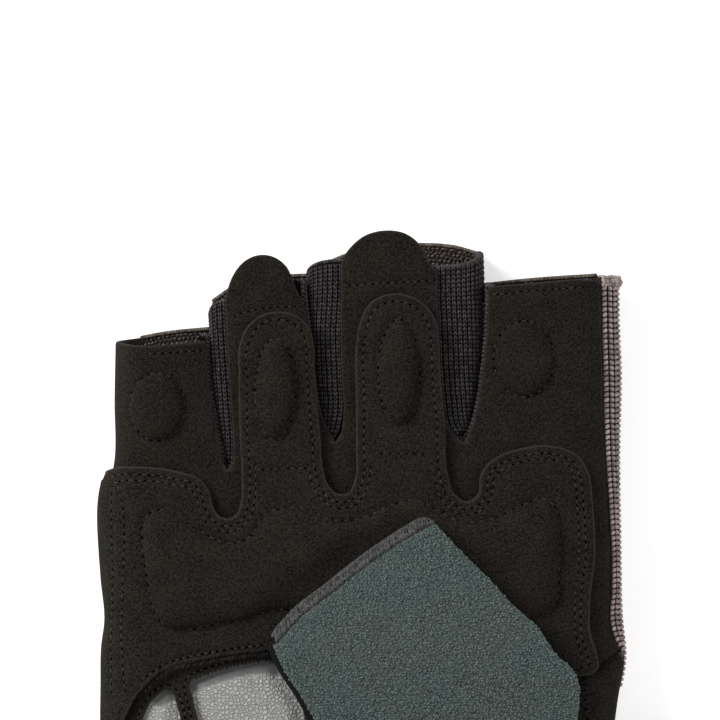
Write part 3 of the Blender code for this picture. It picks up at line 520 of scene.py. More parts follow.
def add_mesh(name: str, points: Array, faces: Sequence[Sequence[int]], **layers: Array) -> Piece:
    """Makes a smooth mesh object from points in millimetres.

    Args:
        name: Name of the piece.
        points: Points, one per row.
        faces: Point numbers of each face.
        layers: Named values per point, of one or of three columns, that the materials read.

    Returns:
        The object, linked to the scene.
    """
    mesh = bpy.data.meshes.new(name)
    mesh.from_pydata((np.asarray(points, float) * MM).tolist(), [], faces)
    for key, values in layers.items():
        kind, slot = ("FLOAT", "value") if np.ndim(values) == 1 else ("FLOAT_VECTOR", "vector")
        layer = mesh.attributes.new(key, kind, "POINT")
        layer.data.foreach_set(slot, np.ascontiguousarray(values, np.float32).ravel())
    mesh.polygons.foreach_set("use_smooth", [True] * len(mesh.polygons))
    mesh.update()
    obj = bpy.data.objects.new(name, mesh)
    bpy.context.scene.collection.objects.link(obj)
    return obj


def thinned(groups: Iterable[tuple[Array, float]], cell: float) -> Array:
    """Joins groups of points, leaving out each point that lies too near to one kept before.

    Args:
        groups: Points, and the least distance that each of them keeps.
        cell: Side of the squares that near points are looked up in, at least every distance.

    Returns:
        The points that are kept, in their order.
    """
    kept: list[tuple[float, float]] = []
    squares: dict[tuple[int, int], list[tuple[float, float]]] = {}
    for points, least in groups:
        for x, y in points.tolist():
            i, j = int(x // cell), int(y // cell)
            near = [
                spot for a in (i - 1, i, i + 1) for b in (j - 1, j, j + 1) for spot in squares.get((a, b), ())
            ]
            if all((x - p) ** 2 + (y - q) ** 2 >= least**2 for p, q in near):
                kept.append((x, y))
                squares.setdefault((i, j), []).append((x, y))
    return np.array(kept)


def staggered(low: Array, high: Array, spacing: float) -> Array:
    """Points of an even grid whose rows are set half a step apart in turn.

    Args:
        low: Lowest x and y.
        high: Highest x and y.
        spacing: Distance between the points of a row.

    Returns:
        The points, row by row.
    """
    row_height = 0.87 * spacing
    rows = np.arange(low[1], high[1], row_height)
    return np.concatenate([
        stack(np.arange(low[0] + spacing * 0.5 * (j % 2), high[0], spacing), y) for j, y in enumerate(rows)
    ])


@dataclass
class Filling:
    """Triangles over an outline; rows of points follow its edges and its seams, thinned where they meet."""

    outline: Array
    holes: Sequence[Array]
    spacing: float
    hems: Sequence[float]
    seams: Sequence[Trail]
    hem_gap: float = 0.2
    seam_gap: float = 0.3
    seam_step: float = 0.7
    seam_rows: tuple[float, ...] = (0.0, 0.4, -0.4, 0.9, -0.9)
    grid_gap: float = 0.62
    grid_margin: float = 0.4
    tolerance: float = 1e-5
    loops: list[Array] = field(init=False)
    edges: list[Trail] = field(init=False)

    def __post_init__(self) -> None:
        """Samples the edges."""
        self.loops = [self.outline, *self.holes]
        self.edges = [Trail(loop, closed=True) for loop in self.loops]

    def away(self, points: Array) -> Array:
        """Distance of each point from the nearest edge."""
        return np.min([line.nearest(*points.T)[0] for line in self.edges], axis=0)

    def covers(self, points: Array) -> Array:
        """Finds what the sheet covers.

        Args:
            points: Points to test, one per row.

        Returns:
            A mask of the points inside the outline and outside the holes.
        """
        keep = inside(points, self.outline)
        for hole in self.holes:
            keep &= ~inside(points, hole)
        return keep

    def within(self, points: Array, least: float) -> Array:
        """Points that the sheet covers and that lie at least this far from its edges."""
        points = points[self.covers(points)]
        return points[self.away(points) > least] if len(points) else points

    def groups(self) -> list[tuple[Array, float]]:
        """Places points inside the outline.

        Returns:
            Points along the edges, along the seams and between, each with the distance that they keep.
        """
        found = []
        for hem in self.hems:
            for loop in self.loops:
                for sign in (1, -1):
                    row = shifted(loop, sign * hem, closed=True)
                    found.append((self.within(row, hem * 0.9), self.hem_gap))
        for seam in self.seams:
            line = seam.at(np.linspace(0, seam.length, max(2, int(seam.length / self.seam_step))))
            for offset in self.seam_rows:
                row = shifted(line, offset) if offset else line
                found.append((self.within(row, self.seam_gap), self.seam_gap))
        grid = staggered(self.outline.min(axis=0), self.outline.max(axis=0), self.spacing)
        margin = max(self.hems, default=0.0) + self.grid_margin * self.spacing
        found.append((self.within(grid, margin), self.grid_gap * self.spacing))
        return found

    def build(self) -> tuple[Array, Array, Array]:
        """Joins the points in triangles.

        Returns:
            The points, the triangles, and each point's distance from the nearest edge.
        """
        points = np.concatenate([*self.loops, thinned(self.groups(), max(self.spacing, 0.5))])
        edges, first = [], 0
        for loop in self.loops:
            edges += [(first + i, first + (i + 1) % len(loop)) for i in range(len(loop))]
            first += len(loop)
        corners = [Vector(point) for point in points.tolist()]
        found = delaunay_2d_cdt(corners, edges, [], 0, self.tolerance)
        points, triangles = np.array([tuple(point) for point in found[0]]), np.array(found[2])
        keep = self.covers(points[triangles].mean(axis=1))
        return points, triangles[keep], self.away(points)


def shell_faces(triangles: Array, count: int, flipped: bool) -> list[tuple[int, ...]]:
    """Faces of a closed sheet from the triangles of its upper side.

    Args:
        triangles: Triangles over the flat points.
        count: Number of flat points; the upper points follow the lower ones.
        flipped: Whether the sheet faces down.

    Returns:
        Faces that all point outwards.
    """
    faces = [tuple(t) for t in (triangles + count).tolist()]
    faces += [tuple(t[::-1]) for t in triangles.tolist()]
    ends = np.concatenate([triangles[:, [0, 1]], triangles[:, [1, 2]], triangles[:, [2, 0]]])
    once = {tuple(pair) for pair in ends.tolist()}
    faces += [(a, b, b + count, a + count) for a, b in sorted(once) if (b, a) not in once]
    return [face[::-1] for face in faces] if flipped else faces


@dataclass
class Cloth:
    """A sheet of cloth or suede that lies over one face of the glove."""

    name: str
    face: Face
    outline: Array
    top: Level
    thickness: float
    spacing: float
    holes: list[Array] = field(default_factory=list)
    seams: list[Trail] = field(default_factory=list)
    rounding: float = 0.45
    edge_drop: float = 0.9
    layers: dict[str, Level] = field(default_factory=dict)

    def build(self, form: GloveForm) -> Piece:
        """Makes the sheet as a closed mesh with rounded edges.

        Args:
            form: The shape that the sheet lies on.

        Returns:
            The mesh object.
        """
        hems = (self.rounding * 0.3, self.rounding)
        filling = Filling(self.outline, self.holes, self.spacing, hems, self.seams)
        flat, triangles, away = filling.build()
        u, y = flat.T
        part = 1 - np.clip(away / self.rounding, 0, 1)
        drop = self.rounding * (1 - np.sqrt(np.clip(1 - part**2, 0, 1))) * self.edge_drop
        top = self.top(u, y)
        low = form.lift(self.face, u, y, top - self.thickness + drop)
        high = form.lift(self.face, u, y, top - drop)
        faces = shell_faces(triangles, len(flat), self.face is Face.BACK)
        layers = {key: np.tile(level(u, y), 2) for key, level in self.layers.items()}
        layers["flat"] = np.tile(stack(u, y, 0 * u), (2, 1))
        layers["rim"] = np.tile(part, 2)
        # The inner side is marked; the materials blend it towards the lining's colour, darkened further as
        # painted shade inside the glove.
        layers["lining"] = np.repeat([1.0, 0.0], len(u))
        obj = add_mesh(self.name, np.concatenate([low, high]), faces, **layers)
        LOG.info("%s: %d faces", self.name, len(faces))
        return obj

    def declare(self, obj: Piece, held: str, *rests_on: str) -> None:
        """Args:
            obj: The sheet's mesh object; not used.
            held: How the sheet is held in its place; not used.
            *rests_on: Pieces that it lies on; not used.
        """
        area = loop_area(self.outline)
        for hole in self.holes:
            area -= loop_area(hole)


def grid_faces(rows: int, columns: int, closed: bool, count: int) -> list[tuple[int, ...]]:
    """Faces of a solid between two grids of points.

    Args:
        rows: Rows of points.
        columns: Points in each row.
        closed: Whether the last row joins the first.
        count: Number of points in one grid; the inner grid follows the outer one.

    Returns:
        The faces.
    """
    faces = []
    for i in range(rows if closed else rows - 1):
        a, b = i * columns, (i + 1) % rows * columns
        for j in range(columns - 1):
            quad = (a + j, b + j, b + j + 1, a + j + 1)
            faces += [quad, tuple(count + k for k in reversed(quad))]
        for j, step in ((0, 1), (columns - 1, -1)):
            ring = (a + j, count + a + j, count + b + j, b + j)[::step]
            faces.append(ring)
    if not closed:
        for i, step in ((0, 1), ((rows - 1) * columns, -1)):
            for j in range(columns - 1):
                faces.append((i + j, i + j + 1, count + i + j + 1, count + i + j)[::step])
    return faces


def add_shell(name: str, outer: Array, inner: Array, flat: Array, closed: bool = False,
              flipped: bool = False, lined: bool = True) -> Piece:
    """Makes a solid between two grids of points, such as a folded strip or a tube.

    Args:
        name: Name of the piece.
        outer: Outer points, row by row.
        inner: Inner points, in the same order.
        flat: Flat coordinates of the points, row by row.
        closed: Whether the last row joins the first.
        flipped: Whether the faces are turned over.
        lined: Whether the materials give the inner side the lining's colour, darkened as painted shade.

    Returns:
        The mesh object.
    """
    rows, columns = outer.shape[:2]
    faces = grid_faces(rows, columns, closed, rows * columns)
    if flipped:
        faces = [face[::-1] for face in faces]
    points = np.concatenate([outer.reshape(-1, 3), inner.reshape(-1, 3)])
    layers = {"lining": np.repeat([0.0, 1.0], rows * columns)} if lined else {}
    return add_mesh(name, points, faces, flat=np.tile(flat.reshape(-1, 3), (2, 1)), **layers)


class Beads:
    """Many small rounded shapes, such as stitches, knitted loops or fleece, in one mesh."""

    roundness: ClassVar[float] = 0.7

    def __init__(self, around: int = 6, along: int = 5) -> None:
        """Makes the capsule that each one is a stretched copy of.

        Args:
            around: Sides of the capsule.
            along: Rings from end to end, without the tips.
        """
        t = np.cos(np.linspace(math.pi, 0, along + 2))[1:-1]
        angles = np.linspace(0, 2 * math.pi, around, endpoint=False)
        radius = np.sqrt(1 - t[:, None] ** 2) ** self.roundness
        rings = stack(t[:, None], radius * np.cos(angles), radius * np.sin(angles)).reshape(-1, 3)
        self.shape = np.concatenate([rings, [(-1, 0, 0), (1, 0, 0)]])
        self.faces: list[tuple[int, ...]] = []
        for i in range(along - 1):
            for j in range(around):
                k = (j + 1) % around
                low, high = i * around, (i + 1) * around
                self.faces.append((low + j, high + j, high + k, low + k))
        last, tip = (along - 1) * around, along * around
        for j in range(around):
            k = (j + 1) % around
            self.faces += [(tip, j, k), (tip + 1, last + k, last + j)]
        self.parts: list[Array] = []

    def add(self, start: Array, end: Array, up: Array, width: float, height: float,
            dip: float = 0.0) -> None:
        """Adds capsules between pairs of points.

        Args:
            start: First ends, one per row.
            end: Second ends.
            up: Directions away from the cloth.
            width: Half-width along the cloth.
            height: Half-height away from it.
            dip: How far both ends bend down into the cloth.
        """
        middle, along = (start + end) / 2, (end - start) / 2
        side = np.cross(up, along)
        side /= np.linalg.norm(side, axis=1, keepdims=True)
        up = np.cross(along, side)
        up /= np.linalg.norm(up, axis=1, keepdims=True)
        t, w, h = self.shape.T
        shape = middle[:, None] + t[:, None] * along[:, None] + (w * width)[:, None] * side[:, None]
        self.parts.append(shape + (h * height - dip * t**2)[:, None] * up[:, None])

    def build(self, name: str) -> Piece:
        """Joins all capsules in one mesh object.

        Args:
            name: Name of the piece.

        Returns:
            The mesh object, where each capsule has a tone of its own.
        """
        points = np.concatenate(self.parts)
        count = len(self.shape)
        sizes = np.array([len(face) for face in self.faces])
        order = np.concatenate([np.array(face) for face in self.faces])
        offsets = np.repeat(np.arange(len(points)) * count, len(order)).reshape(-1, len(order))
        flat = (order + offsets).ravel()
        ends = np.cumsum(np.tile(sizes, len(points)))[:-1]
        faces = [tuple(part.tolist()) for part in np.split(flat, ends)]
        tone = np.repeat(np.random.default_rng(len(points)).uniform(0, 1, len(points)), count)
        obj = add_mesh(name, points.reshape(-1, 3), faces, tone=tone)
        LOG.info("%s: %d of them", name, len(points))
        return obj


def linear(red: float, green: float, blue: float) -> tuple[float, float, float, float]:
    """Linear colour from one read as 0 to 255."""
    parts = [value / 255 for value in (red, green, blue)]
    return (*(p / 12.92 if p <= 0.04045 else ((p + 0.055) / 1.055) ** 2.4 for p in parts), 1.0)


class Nodes:
    """Adds and joins the nodes of one material or of one shared group."""

    def __init__(self, tree: bpy.types.NodeTree) -> None:
        """Starts with an empty tree."""
        self.tree = tree
        self.tree.nodes.clear()

    def add(self, kind: str, inputs: dict | None = None, **settings: object) -> bpy.types.Node:
        """Adds a node.

        Args:
            kind: Blender's name of the node, without ShaderNode.
            inputs: Values or sockets by input name or number.
            **settings: Properties of the node.

        Returns:
            The node.
        """
        node = self.tree.nodes.new(kind if kind.startswith("Node") else "ShaderNode" + kind)
        for key, value in settings.items():
            setattr(node, key, value)
        for key, value in (inputs or {}).items():
            self.feed(node.inputs[key], value)
        return node

    def feed(self, socket: Socket, value: object) -> None:
        """Gives a socket a value, or joins it to another socket.

        Args:
            socket: The input socket.
            value: A number, a colour or an output socket.
        """
        if isinstance(value, bpy.types.NodeSocket):
            self.tree.links.new(value, socket)
        else:
            socket.default_value = value

    def math(self, operation: str, *values: object, clamp: bool = False) -> Socket:
        """Adds a Math node.

        Args:
            operation: Blender's name of the operation.
            *values: Numbers or sockets.
            clamp: Whether the result is held between 0 and 1.

        Returns:
            The result.
        """
        node = self.add("Math", operation=operation, use_clamp=clamp)
        for socket, value in zip(node.inputs, values):
            self.feed(socket, value)
        return node.outputs[0]

    def blend(self, factor: object, first: object, second: object, how: str = "MIX") -> Socket:
        """Mixes two colours.

        Args:
            factor: Share of the second colour.
            first: The first colour or its socket.
            second: The second colour or its socket.
            how: Blender's name of the blend mode.

        Returns:
            The colour between them.
        """
        node = self.add("Mix", data_type="RGBA", blend_type=how)
        for index, value in ((0, factor), (6, first), (7, second)):
            self.feed(node.inputs[index], value)
        return node.outputs[2]

    def noise(self, where: Socket, size: object, detail: float = 2.0, rough: float = 0.6) -> Socket:
        """Adds noise.

        Args:
            where: Place that the noise is read at.
            size: Size of its spots, in the unit of that place.
            detail: How many finer layers are added.
            rough: How strong the finer layers are.

        Returns:
            Values from 0 to 1.
        """
        scale = self.math("DIVIDE", 1.0, size)
        inputs = {"Vector": where, "Scale": scale, "Detail": detail, "Roughness": rough}
        return self.add("TexNoise", inputs).outputs["Fac"]

    def span(self, value: Socket, low: float, high: float) -> Socket:
        """A value moved from low..high to 0..1 and held there."""
        return self.add("MapRange", {"Value": value, "From Min": low, "From Max": high}).outputs["Result"]

    def layer(self, name: str) -> bpy.types.Node:
        """The mesh layer of a name."""
        return self.add("Attribute", attribute_name=name)


class Texture:
    """A shared node group: from Flat, Dark, Light and values of its own it gives Color and Height."""

    name: ClassVar[str]
    takes: ClassVar[tuple[str, ...]]

    @classmethod
    def group(cls) -> bpy.types.NodeTree:
        """Finds the shared group, or makes it on its first use.

        Returns:
            The node group.
        """
        if cls.name in bpy.data.node_groups:
            return bpy.data.node_groups[cls.name]
        tree = bpy.data.node_groups.new(cls.name, "ShaderNodeTree")
        nodes = Nodes(tree)
        takes = {"Flat": "Vector", "Dark": "Color", "Light": "Color"} | dict.fromkeys(cls.takes, "Float")
        for sockets, way in ((takes, "INPUT"), ({"Color": "Color", "Height": "Float"}, "OUTPUT")):
            for key, kind in sockets.items():
                tree.interface.new_socket(key, in_out=way, socket_type="NodeSocket" + kind)
        given, gives = nodes.add("NodeGroupInput"), nodes.add("NodeGroupOutput")
        tint, light, height = cls.pattern(nodes, given.outputs)
        nodes.feed(gives.inputs["Color"], nodes.blend(tint, given.outputs["Dark"], light))
        nodes.feed(gives.inputs["Height"], height)
        return tree

    @classmethod
    def pattern(cls, nodes: Nodes, takes: bpy.types.NodeOutputs) -> tuple[Socket, Socket, Socket]:
        """The tint from dark to light, the light colour and the height."""
        raise NotImplementedError


class Nap(Texture):
    """Brushed surface of suede and of fleece: blotches where the nap lies over, and short fibres."""

    name = "Brushed Nap"
    takes = ("Blotch", "Fibre")

    @classmethod
    def pattern(cls, nodes: Nodes, takes: bpy.types.NodeOutputs) -> tuple[Socket, Socket, Socket]:
        """Lays blotches, tufts and fibres over one another.

        Args:
            nodes: Builder of the group.
            takes: The group's own inputs.

        Returns:
            The tint, the light colour with warmer and cooler patches, and the height.
        """
        flat = takes["Flat"]
        blotch = nodes.noise(flat, takes["Blotch"], 3.0)
        fibre = nodes.noise(flat, takes["Fibre"], 2.0, 0.7)
        tuft = nodes.noise(flat, nodes.math("MULTIPLY", takes["Fibre"], 1.9), 2.0)
        tint = nodes.math("MULTIPLY", nodes.span(blotch, 0.3, 0.7), 0.24)
        tint = nodes.math("MULTIPLY_ADD", nodes.span(tuft, 0.38, 0.62), 0.25, tint)
        tint = nodes.math("MULTIPLY_ADD", nodes.span(fibre, 0.44, 0.56), 0.56, tint)
        patch = nodes.span(nodes.noise(flat, 18.0, 2.0), 0.42, 0.58)
        light = nodes.blend(patch, takes["Light"], (1.08, 0.97, 0.9, 1.0), "MULTIPLY")
        return tint, light, nodes.math("MULTIPLY_ADD", tuft, 0.7, nodes.math("MULTIPLY", fibre, 0.5))


class Knit(Texture):
    """Plain knitting: columns of stitches whose two legs slant towards each other."""

    name = "Plain Knit"
    takes = ("Wale", "Course")

    @classmethod
    def pattern(cls, nodes: Nodes, takes: bpy.types.NodeOutputs) -> tuple[Socket, Socket, Socket]:
        """Draws both legs of each stitch and the fuzz of the yarn, darker where the legs are low as painted
        shade.

        Args:
            nodes: Builder of the group.
            takes: The group's own inputs.

        Returns:
            The tint, the light colour and the height.
        """
        parts = nodes.add("SeparateXYZ", {0: takes["Flat"]})
        across = nodes.math("DIVIDE", parts.outputs["X"], takes["Wale"])
        rise = nodes.math("DIVIDE", parts.outputs["Y"], takes["Course"])
        centred = nodes.math("SUBTRACT", nodes.math("FRACT", across), 0.5)
        leg = nodes.math("MULTIPLY", nodes.math("ABSOLUTE", centred), 2.0)
        offset = nodes.math("MULTIPLY_ADD", leg, 2.0, -1.0)
        round_leg = nodes.math("SUBTRACT", 1.0, nodes.math("POWER", nodes.math("ABSOLUTE", offset), 2.2))
        phase = nodes.math("MULTIPLY", nodes.math("MULTIPLY_ADD", leg, 0.9, rise), 2 * math.pi)
        loop = nodes.math("MULTIPLY_ADD", nodes.math("SINE", phase), 0.5, 0.5)
        height = nodes.math("MULTIPLY", round_leg, nodes.math("MULTIPLY_ADD", loop, 0.55, 0.45))
        fuzz = nodes.noise(takes["Flat"], 0.35, 2.0)
        # Painted shade: the tint follows the height, so the hollows between the legs come out darker.
        tint = nodes.math("MULTIPLY", nodes.math("MULTIPLY_ADD", fuzz, 0.7, 0.6), height, clamp=True)
        return tint, takes["Light"], nodes.math("MULTIPLY_ADD", fuzz, 0.25, height)


class Grain(Texture):
    """Pebble grain of coated leather, with fine pores."""

    name = "Pebble Grain"
    takes = ("Pebble", "Plain")

    @classmethod
    def pattern(cls, nodes: Nodes, takes: bpy.types.NodeOutputs) -> tuple[Socket, Socket, Socket]:
        """Rounds the pebbles, smooths them away where Plain is 1, and adds wear and pores.
        The pebble tops are painted lighter than the crevices as shade, and the plain band darker as shadow.

        Args:
            nodes: Builder of the group.
            takes: The group's own inputs.

        Returns:
            The tint, the light colour and the height.
        """
        flat, plain = takes["Flat"], takes["Plain"]
        scale = nodes.math("DIVIDE", 1.0, takes["Pebble"])
        inputs = {"Vector": flat, "Scale": scale, "Randomness": 0.75}
        edges = nodes.add("TexVoronoi", inputs, feature="DISTANCE_TO_EDGE")
        pore = nodes.noise(flat, 0.25, 2.0)
        wear = nodes.noise(flat, 2.5, 3.0)
        pebble = nodes.math("POWER", nodes.span(edges.outputs["Distance"], 0.0, 0.28), 0.6)
        grained = nodes.math("MULTIPLY", pebble, nodes.math("SUBTRACT", 1.0, plain))
        # Painted shade and shadow: the smooth band is darker, and the pebble middles lighter than their
        # crevices.
        tint = nodes.math("SUBTRACT", 0.55, nodes.math("MULTIPLY", plain, 0.5))
        tint = nodes.math("MULTIPLY_ADD", grained, 0.4, tint)
        tint = nodes.math("MULTIPLY_ADD", nodes.math("SUBTRACT", wear, 0.5), 0.3, tint, clamp=True)
        return tint, takes["Light"], nodes.math("MULTIPLY_ADD", pore, 0.2, grained)


class Thread(Texture):
    """Thread or yarn: a shade for each stitch and the fine twist of its fibres, in metres."""

    name = "Spun Thread"
    takes = ("Tone",)

    @classmethod
    def pattern(cls, nodes: Nodes, takes: bpy.types.NodeOutputs) -> tuple[Socket, Socket, Socket]:
        """Adds fuzz to the tone of each stitch.

        Args:
            nodes: Builder of the group.
            takes: The group's own inputs.

        Returns:
            The tint, the light colour and the height.
        """
        fuzz = nodes.noise(takes["Flat"], 0.0002, 2.0)
        tone = nodes.math("MULTIPLY", takes["Tone"], 0.6)
        return nodes.math("MULTIPLY_ADD", fuzz, 0.6, tone, clamp=True), takes["Light"], fuzz


@dataclass(frozen=True)
class Finish:
    """Colours and surface of one material; a subclass says which shared texture it has."""

    surface: ClassVar[type[Texture]]
    name: str
    dark: tuple[float, float, float]
    light: tuple[float, float, float]
    roughness: float = 0.95
    specular: float = 0.1
    relief: float = 0.25
    depth: float = 0.3
    edge_wear: float = 0.0
    wear_gain: ClassVar[float] = 1.35
    # Share by which the inner side blends towards the inside colour: the lining's own tint, darkened as
    # painted shade.
    lining_and_shade_share: float = 0.5
    inside: tuple[float, float, float] = (8, 7, 7)

    def values(self, nodes: Nodes) -> dict[str, object]:
        """The values that the shared texture takes besides its place and colours."""
        raise NotImplementedError

    def texture(self, nodes: Nodes) -> bpy.types.Node:
        """Places the shared texture in a material.

        Args:
            nodes: Builder of the material.

        Returns:
            The node that gives Color and Height.
        """
        inputs = {"Flat": nodes.layer("flat").outputs["Vector"]} | self.values(nodes)
        inputs |= {"Dark": linear(*self.dark), "Light": linear(*self.light)}
        return nodes.add("Group", inputs, node_tree=self.surface.group())

    def material(self) -> bpy.types.Material:
        """Makes the material, or finds it where it is already made.

        Returns:
            A material whose colour and bump come from nodes.
        """
        title = f"{self.name} surface"
        if title in bpy.data.materials:
            return bpy.data.materials[title]
        material = bpy.data.materials.new(title)
        material.use_nodes = True
        nodes = Nodes(material.node_tree)
        made = self.texture(nodes)
        bump = nodes.add("Bump", {"Strength": self.relief, "Distance": self.depth * MM})
        nodes.feed(bump.inputs["Height"], made.outputs["Height"])
        worn = nodes.math("MULTIPLY", nodes.layer("rim").outputs["Fac"], self.edge_wear, clamp=True)
        rubbed = linear(*(self.wear_gain * value for value in self.light))
        color = nodes.blend(worn, made.outputs["Color"], rubbed)
        # Painted shade: the inner side is darkened towards the inside colour, which is also the lining's own
        # tint.
        lining = nodes.math("MULTIPLY", nodes.layer("lining").outputs["Fac"], self.lining_and_shade_share)
        color = nodes.blend(lining, color, linear(*self.inside))
        shader = nodes.add("BsdfPrincipled", {
            "Base Color": color, "Roughness": self.roughness, "Specular IOR Level": self.specular,
            "Normal": bump.outputs["Normal"],
        })
        nodes.add("OutputMaterial", {"Surface": shader.outputs["BSDF"]})
        return material


@dataclass(frozen=True)
class Brushed(Finish):
    """Suede or fleece."""

    surface: ClassVar[type[Texture]] = Nap
    blotch: float = 6.0
    fibre: float = 0.22

    def values(self, nodes: Nodes) -> dict[str, object]:
        """Sizes of the blotches and of the fibres."""
        return {"Blotch": self.blotch, "Fibre": self.fibre}


@dataclass(frozen=True)
class Knitted(Finish):
    """Knitted cloth."""

    surface: ClassVar[type[Texture]] = Knit
    wale: float = 1.0
    course: float = 0.8

    def values(self, nodes: Nodes) -> dict[str, object]:
        """Sizes of a stitch."""
        return {"Wale": self.wale, "Course": self.course}


@dataclass(frozen=True)
class Pebbled(Finish):
    """Coated leather."""

    surface: ClassVar[type[Texture]] = Grain
    pebble: float = 0.9

    def values(self, nodes: Nodes) -> dict[str, object]:
        """Size of a pebble, and where the leather is plain."""
        return {"Pebble": self.pebble, "Plain": nodes.layer("plain").outputs["Fac"]}


@dataclass(frozen=True)
class Spun(Finish):
    """Sewing thread or yarn, where each stitch has a shade of its own."""

    surface: ClassVar[type[Texture]] = Thread

    def values(self, nodes: Nodes) -> dict[str, object]:
        """The place in space, and the shade of each stitch."""
        return {"Flat": nodes.add("TexCoord").outputs["Object"], "Tone": nodes.layer("tone").outputs["Fac"]}


SUEDE_FINISH = Brushed(
    "suede", (5, 5, 4), (46, 43, 39), relief=0.7, depth=0.5, blotch=5.0, fibre=0.4, edge_wear=0.6,
)
OVERLAY_FINISH = Brushed(
    "suede_overlay", (6, 5, 5), (48, 45, 41), relief=0.7, depth=0.5, blotch=6.0, fibre=0.4, edge_wear=0.8,
)
FLEECE = Brushed(
    "strap_fleece", (42, 50, 50), (86, 98, 96), relief=0.8, depth=0.6, blotch=3.0, fibre=0.55, edge_wear=0.1,
)
# Its inner side is a brown-grey lining, darkened further as painted shade.
GREY_KNIT = Knitted(
    "grey_knit", (48, 42, 41), (146, 134, 131), relief=0.8, depth=0.6, wale=1.7, course=1.07,
    lining_and_shade_share=0.86, inside=(36, 31, 28),
)
DARK_KNIT = Knitted("dark_knit", (4, 4, 4), (24, 22, 23), relief=0.6, depth=0.5)
BINDING = Knitted("binding", (20, 19, 19), (56, 54, 53), relief=0.6, depth=0.4, wale=0.7, course=0.5)
BACKING = Knitted("strap_backing", (12, 12, 13), (44, 43, 45), relief=0.6, depth=0.4, wale=0.8, course=0.6)
PALE_INSET = Pebbled(
    "pale_inset", (98, 98, 97), (186, 185, 182), roughness=0.5, specular=0.4, relief=1.0, depth=0.25,
    pebble=0.75,
)
HOOK = Pebbled("hook", (20, 20, 20), (42, 42, 42), roughness=0.5, specular=0.4, relief=0.6, pebble=0.7)
DARK_YARN = Spun(
    "dark_knit_yarn", (25, 22, 23), (86, 80, 82), roughness=0.9, specular=0.15, relief=0.5, depth=0.15,
)
# Dark beads in the furrows of the knitted back: painted shade.
RIB_SHADE = Spun("grey_knit_rib_shade", (14, 10, 9), (48, 38, 35), relief=0.5, depth=0.15)
GREY_YARN = Spun("grey_knit_yarn", (108, 96, 93), (196, 181, 176), roughness=0.9, relief=0.5, depth=0.15)
LINING_YARN = Spun("lining_yarn", (32, 28, 26), (128, 118, 109), roughness=0.9, relief=0.5, depth=0.15)
FLEECE_LOOPS = Spun("strap_fleece_loops", (68, 80, 79), (112, 126, 123), relief=0.5, depth=0.15)
EDGING_THREAD = Spun("edging_thread", (34, 35, 35), (100, 100, 99), specular=0.2, relief=0.4, depth=0.1)
THREAD = Spun("thread", (8, 8, 7), (54, 51, 47), roughness=0.6, specular=0.3, relief=0.4, depth=0.1)
SEAM_THREAD = Spun(
    "seam_thread", (4, 4, 4), (46, 43, 40), roughness=0.8, specular=0.15, relief=0.4, depth=0.1,
)
# Near-black capsules at the needle holes: painted shade.
HOLE_SHADE = Spun("needle_hole_shade", (2, 2, 2), (8, 7, 7), roughness=1.0, specular=0.0, relief=0.1, depth=0.1)


def dress(obj: Piece, finish: Finish, slot: str, *nodes: str) -> Piece:
    """Gives a piece its finish, its place on the glove and the solids that it stands for.

    Args:
        obj: The piece.
        finish: What it is made of.
        slot: The record's material that this finish belongs to; not used.
        *nodes: Solids that the piece replaces.

    Returns:
        The same piece.
    """
    obj.data.materials.clear()
    obj.data.materials.append(finish.material())
    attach(obj, BODY)
    if nodes:
        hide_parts(*nodes)
    return obj


@dataclass
class Seam:
    """A row of stitches and the furrow that it pulls into the cloth."""

    points: Array
    closed: bool = False
    pitch: float = 1.65
    thread: float = 0.21
    depth: float = 0.3
    share: float = 0.58
    least_pull: float = 0.65
    furrow: float = 0.5
    line: Trail = field(init=False)

    def __post_init__(self) -> None:
        """Samples the row."""
        self.line = Trail(self.points, self.closed)

    def pull(self, u: Array, y: Array) -> Array:
        """Depth of the furrow, deepest at the needle holes.

        Args:
            u: Flat coordinates across the glove.
            y: Flat coordinates along the glove.

        Returns:
            How far the cloth is pulled in at each place.
        """
        away, reach = self.line.nearest(u, y)
        pinch = self.least_pull + (1 - self.least_pull) * np.cos(2 * math.pi * reach / self.pitch)
        return self.depth * pinch * np.exp(-((away / self.furrow) ** 2))


